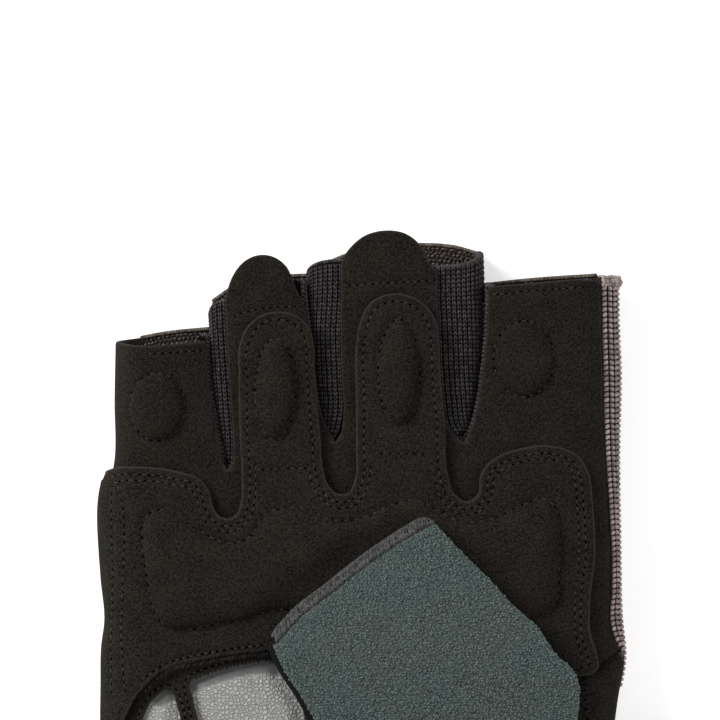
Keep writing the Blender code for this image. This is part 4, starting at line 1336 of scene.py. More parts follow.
@dataclass
class Needlework:
    """All of the sewing: each stitch is a short length of thread between two needle holes, whose darkness is
    painted shade on small capsules.
    """

    form: GloveForm
    beads: Beads = field(default_factory=Beads)
    dark: Beads = field(default_factory=lambda: Beads(6, 4))
    holes: Beads = field(default_factory=lambda: Beads(6, 3))
    sunk: float = 0.1
    stray: float = 0.05
    uneven: float = 0.08
    lengths: tuple[float, float] = (0.88, 1.1)
    hole_half_length: float = 0.3
    hole_half_height: float = 0.11
    seed: int = 5

    def sew(self, seam: Seam, level: Level, face: Face = Face.PALM) -> None:
        """Sews a row of straight stitches.

        Args:
            seam: Where the row runs, in flat coordinates, and its stitches.
            level: Offset of the surface that it is sewn through.
            face: The face that the row lies on.
        """
        line, pitch = seam.line, seam.pitch
        count = max(1, int(line.length / pitch))
        random = np.random.default_rng(self.seed + count)
        middle = pitch * (np.arange(count) + 0.5) + random.uniform(-self.uneven, self.uneven, count)
        half = pitch * seam.share / 2 * random.uniform(*self.lengths, count)
        ends = []
        for sign in (-1, 1):
            flat = line.at(np.clip(middle + sign * half, 0, line.length))
            ends.append(self.lifted(face, flat + random.normal(0, self.stray, (count, 2)), level, self.sunk))
        up, width = self.upward(face, line.at(middle)), seam.thread
        self.beads.add(*ends, up, width, width * 0.85, dip=width * 1.2)
        # Painted shade: a flat dark capsule at each needle hole.
        hole = pitch * np.arange(count + 1)
        ends = []
        for sign in (-1, 1):
            flat = line.at(np.clip(hole + sign * self.hole_half_length, 0, line.length))
            ends.append(self.lifted(face, flat, level, 0.0))
        up = self.upward(face, line.at(hole))
        self.holes.add(*ends, up, width * 1.15, self.hole_half_height)

    def upward(self, face: Face, flat: Array) -> Array:
        """Directions away from the cloth."""
        return self.form.up(face, *flat.T)

    def lifted(self, face: Face, flat: Array, level: Level, above: float) -> Array:
        """Points a little above a surface."""
        return self.form.lift(face, *flat.T, level(*flat.T) + above)

    def braid(self, row: Array, half: float, reach: tuple[float, float], spacing: float, width: float,
              levels: tuple[Level, Level]) -> None:
        """Sews slanting stitches across a line, in turn one way and the other.

        Args:
            row: Flat points along the line.
            half: How far the stitches reach to each side of it.
            reach: How far the odd and the even stitches reach along it.
            spacing: Distance from stitch to stitch.
            width: Half the width of the thread.
            levels: Offsets of the surfaces to the left and to the right of the line.
        """
        line = Trail(row)
        middle = np.arange(spacing, line.length - spacing, spacing)
        ahead = line.at(middle + 0.2) - line.at(middle - 0.2)
        ahead /= np.linalg.norm(ahead, axis=1, keepdims=True)
        across = stack(-ahead[:, 1], ahead[:, 0])
        random = np.random.default_rng(self.seed + len(middle))
        slant = np.where(np.arange(len(middle)) % 2, *reach)[:, None]
        ends = []
        for sign, level in zip((1, -1), levels):
            flat = line.at(middle) + sign * (half * across + slant * ahead)
            flat = flat + random.normal(0, 0.08, (len(middle), 2))
            ends.append(self.lifted(Face.PALM, flat, level, self.sunk))
        up = self.upward(Face.PALM, line.at(middle))
        self.dark.add(*ends, up, width, width * 0.9, dip=width * 1.1)

    def close(self, palm: Array, back: Array, spacing: float = 0.5) -> None:
        """Sews an edge of the palm to an edge of the back.

        Args:
            palm: Flat points along the palm's edge.
            back: As many flat points along the edge of the back.
            spacing: Distance from stitch to stitch.
        """
        count = int(Trail(palm).length / spacing)
        place, index = np.linspace(0, len(palm) - 1, count), np.arange(len(palm))
        below, overlap = -0.3, 0.55
        ends, up = [], 0
        for face, edge in ((Face.PALM, palm), (Face.BACK, back)):
            u, y = (np.interp(place, index, column) for column in edge.T)
            ends.append(self.form.lift(face, u, y, below))
            up = up + self.form.lift(face, u, y, 1.0) - self.form.lift(face, u, y, 0.0)
        across = ends[1] - ends[0]
        across *= overlap / np.linalg.norm(across, axis=1, keepdims=True)
        self.dark.add(ends[0] - across, ends[1] + across, up, width=0.28, height=0.34, dip=0.2)

    def build(self) -> list[Piece]:
        """Joins the stitches, the overcast stitches and the painted shade of the needle holes in one piece
        each.
        """
        return [
            dress(self.beads.build("stitching"), THREAD, "edging_thread"),
            dress(self.dark.build("overcast_stitching"), SEAM_THREAD, "edging_thread"),
            dress(self.holes.build("needle_hole_shade"), HOLE_SHADE, "edging_thread"),
        ]


def oval(x: float, y: float, half_x: float, half_y: float, step: float = 0.9) -> Array:
    """Places points round an oval.

    Args:
        x: Its middle across the glove.
        y: Its middle along the glove.
        half_x: Half its width.
        half_y: Half its length.
        step: About the distance between two points.

    Returns:
        The points.
    """
    count = int(math.pi * (half_x + half_y) / step)
    angle = np.linspace(0, 2 * math.pi, count, endpoint=False)
    return stack(x + half_x * np.cos(angle), y + half_y * np.sin(angle))


@dataclass
class Puff:
    """A padded place under the suede, held by a row of stitches round it."""

    loop: Array
    rise: float
    rounding: float
    pitch: float = 1.65
    seam: Seam = field(init=False)

    def __post_init__(self) -> None:
        """Samples the row of stitches."""
        self.seam = Seam(self.loop, closed=True, pitch=self.pitch, depth=0.42)

    def height(self, u: Array, y: Array) -> Array:
        """Rise of the surface over the padding, less the furrow round it.

        Args:
            u: Flat coordinates across the glove.
            y: Flat coordinates along the glove.

        Returns:
            The rise at each place.
        """
        away, _ = self.seam.line.nearest(u, y)
        held = inside(stack(u, y), self.loop)
        t = np.clip(np.where(held, away, 0) / self.rounding, 0, 1)
        return self.rise * np.sqrt(1 - (1 - t) ** 2) - self.seam.pull(u, y)


@dataclass
class SuedePalm:
    """The suede palm with its four finger fronts, two pull tabs and the pads of the outer fingers."""

    form: GloveForm
    step: float = 0.9
    spacing: float = 1.05
    thumb_y: float = -46.05
    thumb_half_width: float = 13.0
    thumb_half_height: float = 7.6
    thumb_tilt: float = math.radians(8)
    cuff_y: float = -76.05
    crease_depth: float = 1.7
    crease_width: float = 0.7
    side_top: float = 51.75
    seam_foot: float = -13.05
    crease: Trail = field(init=False)
    thumb_seam: Array = field(init=False)
    puffs: list[Puff] = field(init=False)
    seams: list[Seam] = field(init=False)
    windows: list[Array] = field(init=False)
    waves: Waves = field(init=False)

    def __post_init__(self) -> None:
        """Draws the pads, the windows and the rows of stitches."""
        pinky, index = oval(-41.6, 38.6, 5.6, 6.8), oval(31.8, 48.2, 6.0, 7.6)
        self.puffs = [Puff(pinky, rise=1.6, rounding=3.6), Puff(index, rise=1.6, rounding=3.8)]
        self.windows = [smooth_loop(WINDOW_OUTER, self.step), smooth_loop(WINDOW_INNER, self.step)]
        hems = [
            [(-43.6, 49.2), (-37.0, 49.6), (-31.4, 50.0)],
            [(-26.4, 57.0), (-20.0, 58.4), (-13.2, 58.8)],
            [(-4.6, 62.8), (0.0, 63.2), (5.0, 63.4), (14.6, 64.0)],
            [(25.2, 61.0), (35.0, 62.0), (44.8, 62.6)],
        ]
        self.seams = [Seam(self.form.flat(smooth_run(hem, 0.9)), pitch=1.55, thread=0.18) for hem in hems]
        thumb_seam = [(43.4, -15.4), (43.8, -18.4), (44.3, -22.0), (44.6, -26.0), (44.6, -31.0)]
        self.thumb_seam = self.form.flat(smooth_run(thumb_seam, 0.9))
        self.seams.append(Seam(self.thumb_seam, depth=0.6))
        crease = [(46.2, -14.0), (48.2, -12.9), (50.2, -11.8), (51.8, -11.0)]
        self.crease = Trail(self.form.flat(smooth_run(crease, 0.6)))
        for window in self.windows:
            self.seams.append(Seam(self.around(window, 1.05), closed=True, pitch=1.5, thread=0.26))
        self.waves = Waves(seed=3, length=17.0, height=0.14)

    @staticmethod
    def around(loop: Array, distance: float) -> Array:
        """A loop that runs outside another one."""
        found = shifted(loop, distance, closed=True)
        return found if np.ptp(found[:, 0]) > np.ptp(loop[:, 0]) else shifted(loop, -distance, closed=True)

    def surface(self, u: Array, y: Array) -> Array:
        """Offset of the suede's upper side.

        Args:
            u: Flat coordinates across the glove.
            y: Flat coordinates along the glove.

        Returns:
            The offset at each place: waves, pads, furrows, and the crease with the swell beside it.
        """
        height = self.waves(u, y) * smoothstep(0.0, 4.0, 50.0 - np.abs(u))
        for puff in self.puffs:
            height = height + puff.height(u, y)
        for seam in self.seams:
            height = height - seam.pull(u, y)
        away, _ = self.crease.nearest(u, y)
        crease = self.crease_depth * np.exp(-((away / self.crease_width) ** 2))
        return height - crease + 0.4 * np.exp(-(((away - 1.8) / 0.9) ** 2))

    def finger_edge(self, table: Sequence[Sequence[float]], side: int, y: Array) -> Array:
        """Edge of a finger's front on one side of a gap."""
        line = Curve([(r[0], r[1] - r[2] if side < 0 else r[1] + r[3]) for r in table])
        return stack(line(y), y)

    def thumb_notch(self) -> list[tuple[float, float]]:
        """The half oval cut from the edge for the thumb.

        Returns:
            Flat points down the edge, each end moved out by half a gap as the sides are.
        """
        points = []
        for angle in np.linspace(0, math.pi, 40):
            y = self.thumb_y + self.thumb_half_width * math.cos(angle)
            radius = float(self.form.side_height(y)) / 2
            turn = math.acos(min(1.0, self.thumb_half_height * math.sin(angle) / radius))
            side = float(self.form.right(y))
            x = side - radius * (1 - math.sin(turn))
            points.append((side - radius * (1 - turn), y + math.tan(self.thumb_tilt) * (x - side)))
        points[0] = (points[0][0] - GAP / 2, points[0][1])
        points[-1] = (points[-1][0] - GAP / 2, points[-1][1])
        return points

    def lower_runs(self) -> list[Array]:
        """The edge from the end of the index seam down the thumb side and along the cuff.

        Returns:
            Flat points of each run.
        """
        top, bottom = self.thumb_y + self.thumb_half_width, self.thumb_y - self.thumb_half_width
        runs = [
            self.form.side_edge(y_run(self.seam_foot, top + 2, self.step), 1),
            np.array(self.thumb_notch()),
            self.form.side_edge(y_run(bottom - 2, self.cuff_y, self.step), 1),
        ]
        ends = [float(self.form.side_edge(np.array(self.cuff_y), sign)[0]) for sign in (1, -1)]
        runs.append(smooth_run([(end, self.cuff_y) for end in ends], self.step))
        return runs

    def outline(self) -> Array:
        """Draws the palm flat.

        Returns:
            Its outline, up the little finger's side, round the finger fronts and down by the thumb.
        """
        rims = [RIM_PINKY, TAB_RING, TAB_MIDDLE, RIM_INDEX]
        side = tuple(self.form.side_edge(np.array(self.side_top), -1))
        runs = [self.form.side_edge(y_run(self.cuff_y, self.side_top, self.step), -1)]
        runs.append(smooth_run([side, *RIM_PINKY], self.step))
        gaps = (GAP_PINKY_RING, GAP_RING_MIDDLE, GAP_MIDDLE_INDEX)
        for table, line, before, rim in zip(gaps, self.form.lines, rims, rims[1:]):
            end = table[-1][0]
            runs.append(self.finger_edge(table, -1, y_run(before[-1][1] - 0.6, end + 1.0, self.step)))
            runs.append(np.array([(float(line(end)), end - 1.0)]))
            runs.append(self.finger_edge(table, 1, y_run(end + 1.0, rim[0][1] - 0.6, self.step)))
            runs.append(self.form.flat(smooth_run(rim, self.step * 0.8)))
        runs.append(self.form.flat(smooth_run(INDEX_SEAM, self.step)))
        return joined(*runs, *self.lower_runs())

    def build(self) -> Piece:
        """Makes the palm.

        Returns:
            The mesh object.
        """
        lines = [seam.line for seam in self.seams] + [puff.seam.line for puff in self.puffs] + [self.crease]
        sheet = Cloth(
            "suede_palm", Face.PALM, self.outline(), self.surface, SUEDE, self.spacing, holes=self.windows,
            seams=lines,
        )
        nodes = ("palm_panel", "finger_pad_pinky", "finger_pad_index")
        obj = dress(sheet.build(self.form), SUEDE_FINISH, "suede", *nodes)
        sheet.declare(obj, "laid", "knit_back")
        return obj

    def sew(self, needle: Needlework) -> None:
        """Sews the hems, the rows round the pads and the windows, and the overcast seam by the thumb.

        Args:
            needle: Where the sewing is gathered.
        """
        for seam in self.seams:
            needle.sew(seam, self.surface)
        for puff in self.puffs:
            needle.sew(puff.seam, self.surface)
        both = (self.surface, self.surface)
        needle.braid(self.thumb_seam, half=1.15, reach=(0.75, -0.3), spacing=1.0, width=0.28, levels=both)
        inner = HeelWindows.upper_edge(self.windows[1])
        side = self.around(self.windows[1], 1.9)
        above = side[side[:, 1] > self.windows[1][:, 1].max() - 2.8]
        above = above[np.argsort(above[:, 0])]
        needle.braid(above, half=0.42, reach=(0.7, 0.7), spacing=0.62, width=0.3, levels=both)
        rim = inner[np.argsort(inner[:, 0])]
        edge = (self.surface, level_at(-0.7))
        needle.braid(rim, half=0.42, reach=(0.25, 0.25), spacing=0.8, width=0.27, levels=edge)

    def close(self, needle: Needlework) -> None:
        """Sews the palm to the back along both sides, and to the band of the cuff.

        Args:
            needle: Where the sewing is gathered.
        """
        form = self.form
        seam = smooth_run(INDEX_SEAM, 0.5)
        needle.close(form.flat(seam), form.seam_on_back(seam))
        top, bottom = self.thumb_y + self.thumb_half_width, self.thumb_y - self.thumb_half_width
        sides = ((self.cuff_y, 51.4, -1), (-12.0, top + 2.6, 1), (bottom - 2.6, self.cuff_y, 1))
        for start, end, sign in sides:
            edge = form.side_edge(y_run(start, end, 0.5), sign)
            needle.close(edge, edge)
        low, high = (float(form.side_edge(np.array(self.cuff_y), sign)[0]) for sign in (-1, 1))
        u = np.arange(low, high, 0.7)
        for face in Face:
            above, below = (form.lift(face, u, self.cuff_y + y + 0 * u, -0.3) for y in (0.7, -GAP - 0.7))
            up = form.up(face, u, self.cuff_y + 0 * u)
            needle.dark.add(above, below, up, width=0.4, height=0.34, dip=0.1)


@dataclass
class PalmOverlay:
    """The second layer of suede, puffed over the palm pad and over the ring and middle finger pads."""

    form: GloveForm
    step: float = 0.8
    spacing: float = 0.8
    flattened: float = 0.46
    pad: Puff = field(init=False)
    puffs: list[Puff] = field(init=False)
    seams: list[Seam] = field(init=False)
    waves: Waves = field(init=False)

    def __post_init__(self) -> None:
        """Draws the pads and the rows of stitches along the edge."""
        self.pad = Puff(smooth_loop(PALM_PAD, 0.8), rise=2.6, rounding=5.0, pitch=1.9)
        ring, middle = oval(-17.9, 42.1, 3.9, 10.1), oval(6.8, 45.4, 4.0, 10.6)
        self.puffs = [Puff(ring, rise=2.0, rounding=3.0), Puff(middle, rise=2.0, rounding=3.1)]
        edge = smooth_run(OVERLAY_LEFT + OVERLAY[1:], 0.8)
        near, far = shifted(edge, -1.6), shifted(edge, -2.75)
        runs = [near, *self.lobes(far)]
        runs += [
            smooth_run([(-49.6, 22.6), (-49.4, 10.0), (-49.3, -4.0), (-49.6, -20.0)], 0.8),
            smooth_run([(-48.4, 23.0), (-47.6, 18.0), (-47.4, 4.0), (-47.6, -8.0), (-47.0, -19.0)], 0.8),
            smooth_run([(-21.8, 26.0), (-16.6, 26.2), (-11.6, 26.4)], 0.8),
            smooth_run([(1.6, 29.2), (6.6, 29.2), (11.6, 29.0)], 0.8),
        ]
        self.seams = [Seam(self.form.flat(run)) for run in runs]
        heel = [(-44.4, -16.0), (-41.0, -13.4), (-30.0, -10.2), (-18.6, -8.6)]
        self.seams.append(Seam(self.form.flat(smooth_run(heel, 0.8)), pitch=1.5, thread=0.3))
        self.waves = Waves(seed=11, length=14.0, height=0.12)

    @staticmethod
    def lobes(run: Array) -> list[Array]:
        """Picks the parts of a run that lie on the lobes and round the notches, below the fingers.

        Args:
            run: Points of the run.

        Returns:
            Its parts.
        """
        low = run[:, 1] < 27.5 + 3.5 * (run[:, 0] > 22.0)
        cuts = np.flatnonzero(np.diff(low.astype(int))) + 1
        parts = [part for part, held in zip(np.split(run, cuts), np.split(low, cuts)) if held[0]]
        return [part for part in parts if len(part) > 6]

    def under_strap(self, u: Array, y: Array) -> Array:
        """How far the strap presses the pad flatter.

        Args:
            u: Flat coordinates across the glove.
            y: Flat coordinates along the glove.

        Returns:
            Values from 0 to 1.
        """
        loop = smooth_loop(STRAP_END + STRAP_RIGHT[1:12] + STRAP_LEFT[3:-1], 2.0)
        away, _ = Trail(loop, closed=True).nearest(u, y)
        return 1 - smoothstep(1.0, 7.0, np.where(inside(stack(u, y), loop), 0.0, away))

    def surface(self, u: Array, y: Array) -> Array:
        """Offset of the overlay's upper side.

        Args:
            u: Flat coordinates across the glove.
            y: Flat coordinates along the glove.

        Returns:
            The offset at each place: waves, pads and furrows.
        """
        pressed = 1 - self.flattened * self.under_strap(u, y)
        height = OVERLAY_HIGH + self.waves(u, y) * 0.8 + (GAP + self.pad.height(u, y)) * pressed
        for puff in self.puffs:
            height = height + puff.height(u, y)
        for seam in self.seams:
            height = height - seam.pull(u, y)
        return height

    def outline(self) -> Array:
        """Draws the overlay flat.

        Returns:
            Its outline.
        """
        left = self.form.side_edge(y_run(-30.0, 23.4, self.step), -1, 1.35)
        top = self.form.flat(smooth_run(OVERLAY_LEFT, self.step))
        around = self.form.flat(smooth_run(OVERLAY, self.step))
        heel = self.form.flat(smooth_run(OVERLAY_HEEL, self.step))
        return joined(left, top, around, smooth_run(OVERLAY_LOWER, self.step), heel)

    def build(self) -> Piece:
        """Makes the overlay.

        Returns:
            The mesh object.
        """
        lines = [seam.line for seam in self.seams] + [puff.seam.line for puff in (self.pad, *self.puffs)]
        outline = self.outline()
        sheet = Cloth("suede_overlay", Face.PALM, outline, self.surface, SUEDE, self.spacing, seams=lines)
        nodes = ("palm_overlay", "palm_pad", "finger_pad_ring", "finger_pad_middle")
        obj = dress(sheet.build(self.form), OVERLAY_FINISH, "suede_overlay", *nodes)
        sheet.declare(obj, "laid", "suede_palm")
        return obj

    def sew(self, needle: Needlework) -> None:
        """Sews the rows along the edge and round the pads, and the rope along the heel.

        Args:
            needle: Where the sewing is gathered.
        """
        for seam in self.seams:
            needle.sew(seam, self.surface)
        for puff in (self.pad, *self.puffs):
            needle.sew(puff.seam, self.surface)
        heel = [(-18.6, -9.8), (-30.0, -11.4), (-41.0, -14.6), (-44.6, -18.2)]
        edge = self.form.flat(smooth_run(heel, 0.8))
        inward, outward = shifted(edge, -0.45), shifted(edge, 0.75)
        both, high, low = (self.surface, self.surface), level_at(0.75), level_at(0.2)
        needle.braid(inward, half=0.42, reach=(0.7, 0.7), spacing=0.62, width=0.32, levels=both)
        needle.braid(edge, half=0.7, reach=(0.35, 0.35), spacing=0.6, width=0.32, levels=(self.surface, low))
        needle.braid(outward, half=0.42, reach=(-0.7, -0.7), spacing=0.62, width=0.3, levels=(high, low))


@dataclass
class KnitStrip:
    """One knitted strip between two fingers: down one finger, round the crotch, up the other."""

    form: GloveForm
    name: str
    table: list
    rims: tuple[float, float]
    shift: float = 0.0
    slit: float = 0.2
    step: float = 0.55
    tuck: float = 1.5
    corner: float = 2.2
    corner_length: float = 9.0
    corner_reach: float = 3.0
    least_drop: float = 1.6
    drop_share: float = 0.62
    arc_power: float = 1.25
    arc_points: int = 16
    wall_points: int = 8
    least_step: float = 0.18
    wale: float = 1.05
    course: float = 0.86
    rows: list[Array] = field(default_factory=list)
    outward: list[Array] = field(default_factory=list)
    widths: list[Array] = field(default_factory=list)
    along: list[float] = field(default_factory=list)
    reaches: list[float] = field(default_factory=list)

    def stations(self) -> list[tuple[float, float, float, float]]:
        """Places the rings of the strip.

        Returns:
            Each ring's x and y, the direction of its finger, and how far it reaches that way.
        """
        line = Curve([(row[0], row[1] - self.shift) for row in self.table])
        left = Curve([(row[0], max(0.4, row[2] - self.shift)) for row in self.table])
        right = Curve([(row[0], row[3] + min(self.shift, row[2] - 0.4)) for row in self.table])
        end = self.table[-1][0]
        found = []
        for y in y_run(self.rims[0], end + 1.2, self.step):
            found.append((float(line(y)) - self.slit, y, math.pi, float(left(y))))
        for angle in np.linspace(math.pi, 2 * math.pi, 13)[1:-1]:
            x = float(line(end)) + self.slit * math.cos(angle)
            found.append((x, end + self.slit * math.sin(angle), angle, 1.0))
        for y in y_run(end + 1.2, self.rims[1], self.step):
            found.append((float(line(y)) + self.slit, y, 2 * math.pi, float(right(y))))
        return found

    def profile(self, reach: float, top: float) -> tuple[Array, Array]:
        """Section of the strip, from under the suede down to the table.

        Args:
            reach: How far the strip runs out under the finger's front.
            top: Height of its upper end over the table.

        Returns:
            Points and normals, as distance outwards and height from that end.
        """
        drop, low = max(self.least_drop, self.drop_share * reach), KNIT + GAP
        t = np.linspace(0, math.pi / 2, self.arc_points)
        arc = stack(reach * (1 - np.sin(t)), -drop * (1 - np.cos(t)) ** self.arc_power)
        bent = stack(-drop * np.sin(t), reach * np.cos(t))
        wall = stack(np.zeros(self.wall_points), np.linspace(-drop, low - top, self.wall_points + 1)[1:])
        points = np.concatenate([[(reach + self.tuck, 0.0)], arc, wall])
        normals = np.concatenate([[(0.0, 1.0)], bent, np.tile([-1.0, 0.0], (self.wall_points, 1))])
        return points, normals / np.linalg.norm(normals, axis=1, keepdims=True)

    def build(self) -> Piece:
        """Makes the strip.

        Returns:
            The mesh object.
        """
        inner, flat = [], []
        travelled = 0.0
        before: tuple[float, float] | None = None
        for x, y, angle, reach in self.stations():
            across = np.array([math.cos(angle), math.sin(angle)])
            top = float(self.form.palm_height(x + reach * across[0], y + reach * across[1])) - SUEDE - GAP
            points, normals = self.profile(reach, top)
            rim = self.rims[0] if angle < 1.5 * math.pi else self.rims[1]
            near_rim = max(0.0, 1 - (rim - y) / self.corner_length)
            fall = self.corner * near_rim * min(1.0, reach / self.corner_reach)
            part = 1 - np.clip(points[:, 0] / max(reach, 0.1), 0, 1)
            rounded = 1 - np.sqrt(np.clip(1 - part**2.4, 0, 1))
            rings = []
            for less in (0.0, SUEDE):
                q, z = (points - normals * less).T
                if less:
                    z[-1] = KNIT + GAP - top
                rings.append(stack(x + q * across[0], y + q * across[1] - fall * rounded, top + z))
            self.rows.append(rings[0])
            self.outward.append(stack(normals[:, 0] * across[0], normals[:, 0] * across[1], normals[:, 1]))
            inner.append(rings[1])
            self.widths.append(distances(points))
            if before:
                travelled += max(math.dist(before, (x, y)), self.least_step)
            before = (x, y)
            self.along.append(travelled)
            self.reaches.append(reach)
            flat.append(stack(self.widths[-1] - self.tuck, travelled, 0.0))
        obj = add_shell(f"knit_side_{self.name}", np.array(self.rows), np.array(inner), np.array(flat))
        dress(obj, DARK_KNIT, "dark_knit", f"fourchette_{self.name}")
        width, length = max(float(ring[-1]) for ring in self.widths), travelled
        return obj

    def read(self, ring: int, width: Array) -> Array:
        """Points and outward directions of one ring at widths from its edge under the suede."""
        both = np.concatenate([self.rows[ring], self.outward[ring]], axis=1)
        return np.stack([np.interp(width, self.widths[ring], column) for column in both.T], -1)

    def spots(self, along: float, width: Array) -> Array:
        """Reads the strip between two rings.

        Args:
            along: Distance along the strip.
            width: Widths from its edge under the suede.

        Returns:
            Points and outward directions.
        """
        along = min(max(along, 0.0), self.along[-1])
        i = min(max(int(np.searchsorted(self.along, along)) - 1, 0), len(self.along) - 2)
        part = (along - self.along[i]) / max(self.along[i + 1] - self.along[i], 1e-6)
        return self.read(i, width) * (1 - part) + self.read(i + 1, width) * part

    def yarn(self, beads: Beads) -> None:
        """Adds the stitches that can be seen, and the loops along both rims.

        Args:
            beads: Where the yarn is gathered.
        """
        for row in range(int(self.along[-1] / self.course)):
            along = (row + 0.5) * self.course
            i = min(int(np.searchsorted(self.along, along)), len(self.along) - 1)
            seen = self.tuck + math.pi / 2 * 0.8 * self.reaches[i] + 2.6
            middle = np.arange(self.tuck - 0.3 + 0.5 * self.wale, seen, self.wale)
            up = self.spots(along, middle)[:, 3:]
            for side in (-1, 1):
                low = self.spots(along - 0.5 * self.course, middle + side * 0.06 * self.wale)[:, :3]
                high = self.spots(along + 0.5 * self.course, middle + side * 0.3 * self.wale)[:, :3]
                beads.add(low + 0.1 * up, high + 0.1 * up, up, width=0.2, height=0.22, dip=0.14)
        self.hem(beads, 0, 1)
        self.hem(beads, len(self.rows) - 1, len(self.rows) - 2)

    def hem(self, beads: Beads, last: int, before: int, spacing: float = 0.62) -> None:
        """Adds the loops of yarn that roll over one rim of the strip.

        Args:
            beads: Where the yarn is gathered.
            last: Number of the ring at the rim.
            before: Number of the ring beside it.
            spacing: Distance from loop to loop.
        """
        end = min(self.widths[last][-1] - 1.0, self.tuck + 1.3 * self.reaches[last] + 7.0)
        reach = np.arange(self.tuck * 0.4, end, spacing)
        found = self.read(last, reach)
        line, out = found[:, :3], found[:, 3:]
        back = self.read(before, reach)[:, :3] - line
        back /= np.linalg.norm(back, axis=1, keepdims=True)
        middle = line - 0.05 * back - 0.5 * out
        lean = 0.25 * np.gradient(line, axis=0) / spacing
        low, high = middle - 0.9 * out - lean, middle + 0.75 * out + lean
        beads.add(low, high, -back, width=0.37, height=0.4, dip=0.3)


@dataclass
class FingerSides:
    """The three knitted strips between the fingers."""

    form: GloveForm

    def build(self) -> list[Piece]:
        """Makes the strips and their yarn.

        Returns:
            The three strips and the piece of yarn.
        """
        strips = [
            KnitStrip(self.form, "pinky_ring", GAP_PINKY_RING, (53.0, 59.8)),
            KnitStrip(self.form, "ring_middle", GAP_RING_MIDDLE, (64.0, 68.0), shift=1.5),
            KnitStrip(self.form, "middle_index", GAP_MIDDLE_INDEX, (66.7, 62.8), corner=-3.0),
        ]
        beads = Beads(5, 4)
        made = []
        for strip in strips:
            made.append(strip.build())
            strip.yarn(beads)
        made.append(dress(beads.build("knit_side_yarn"), DARK_YARN, "dark_knit"))
        return made


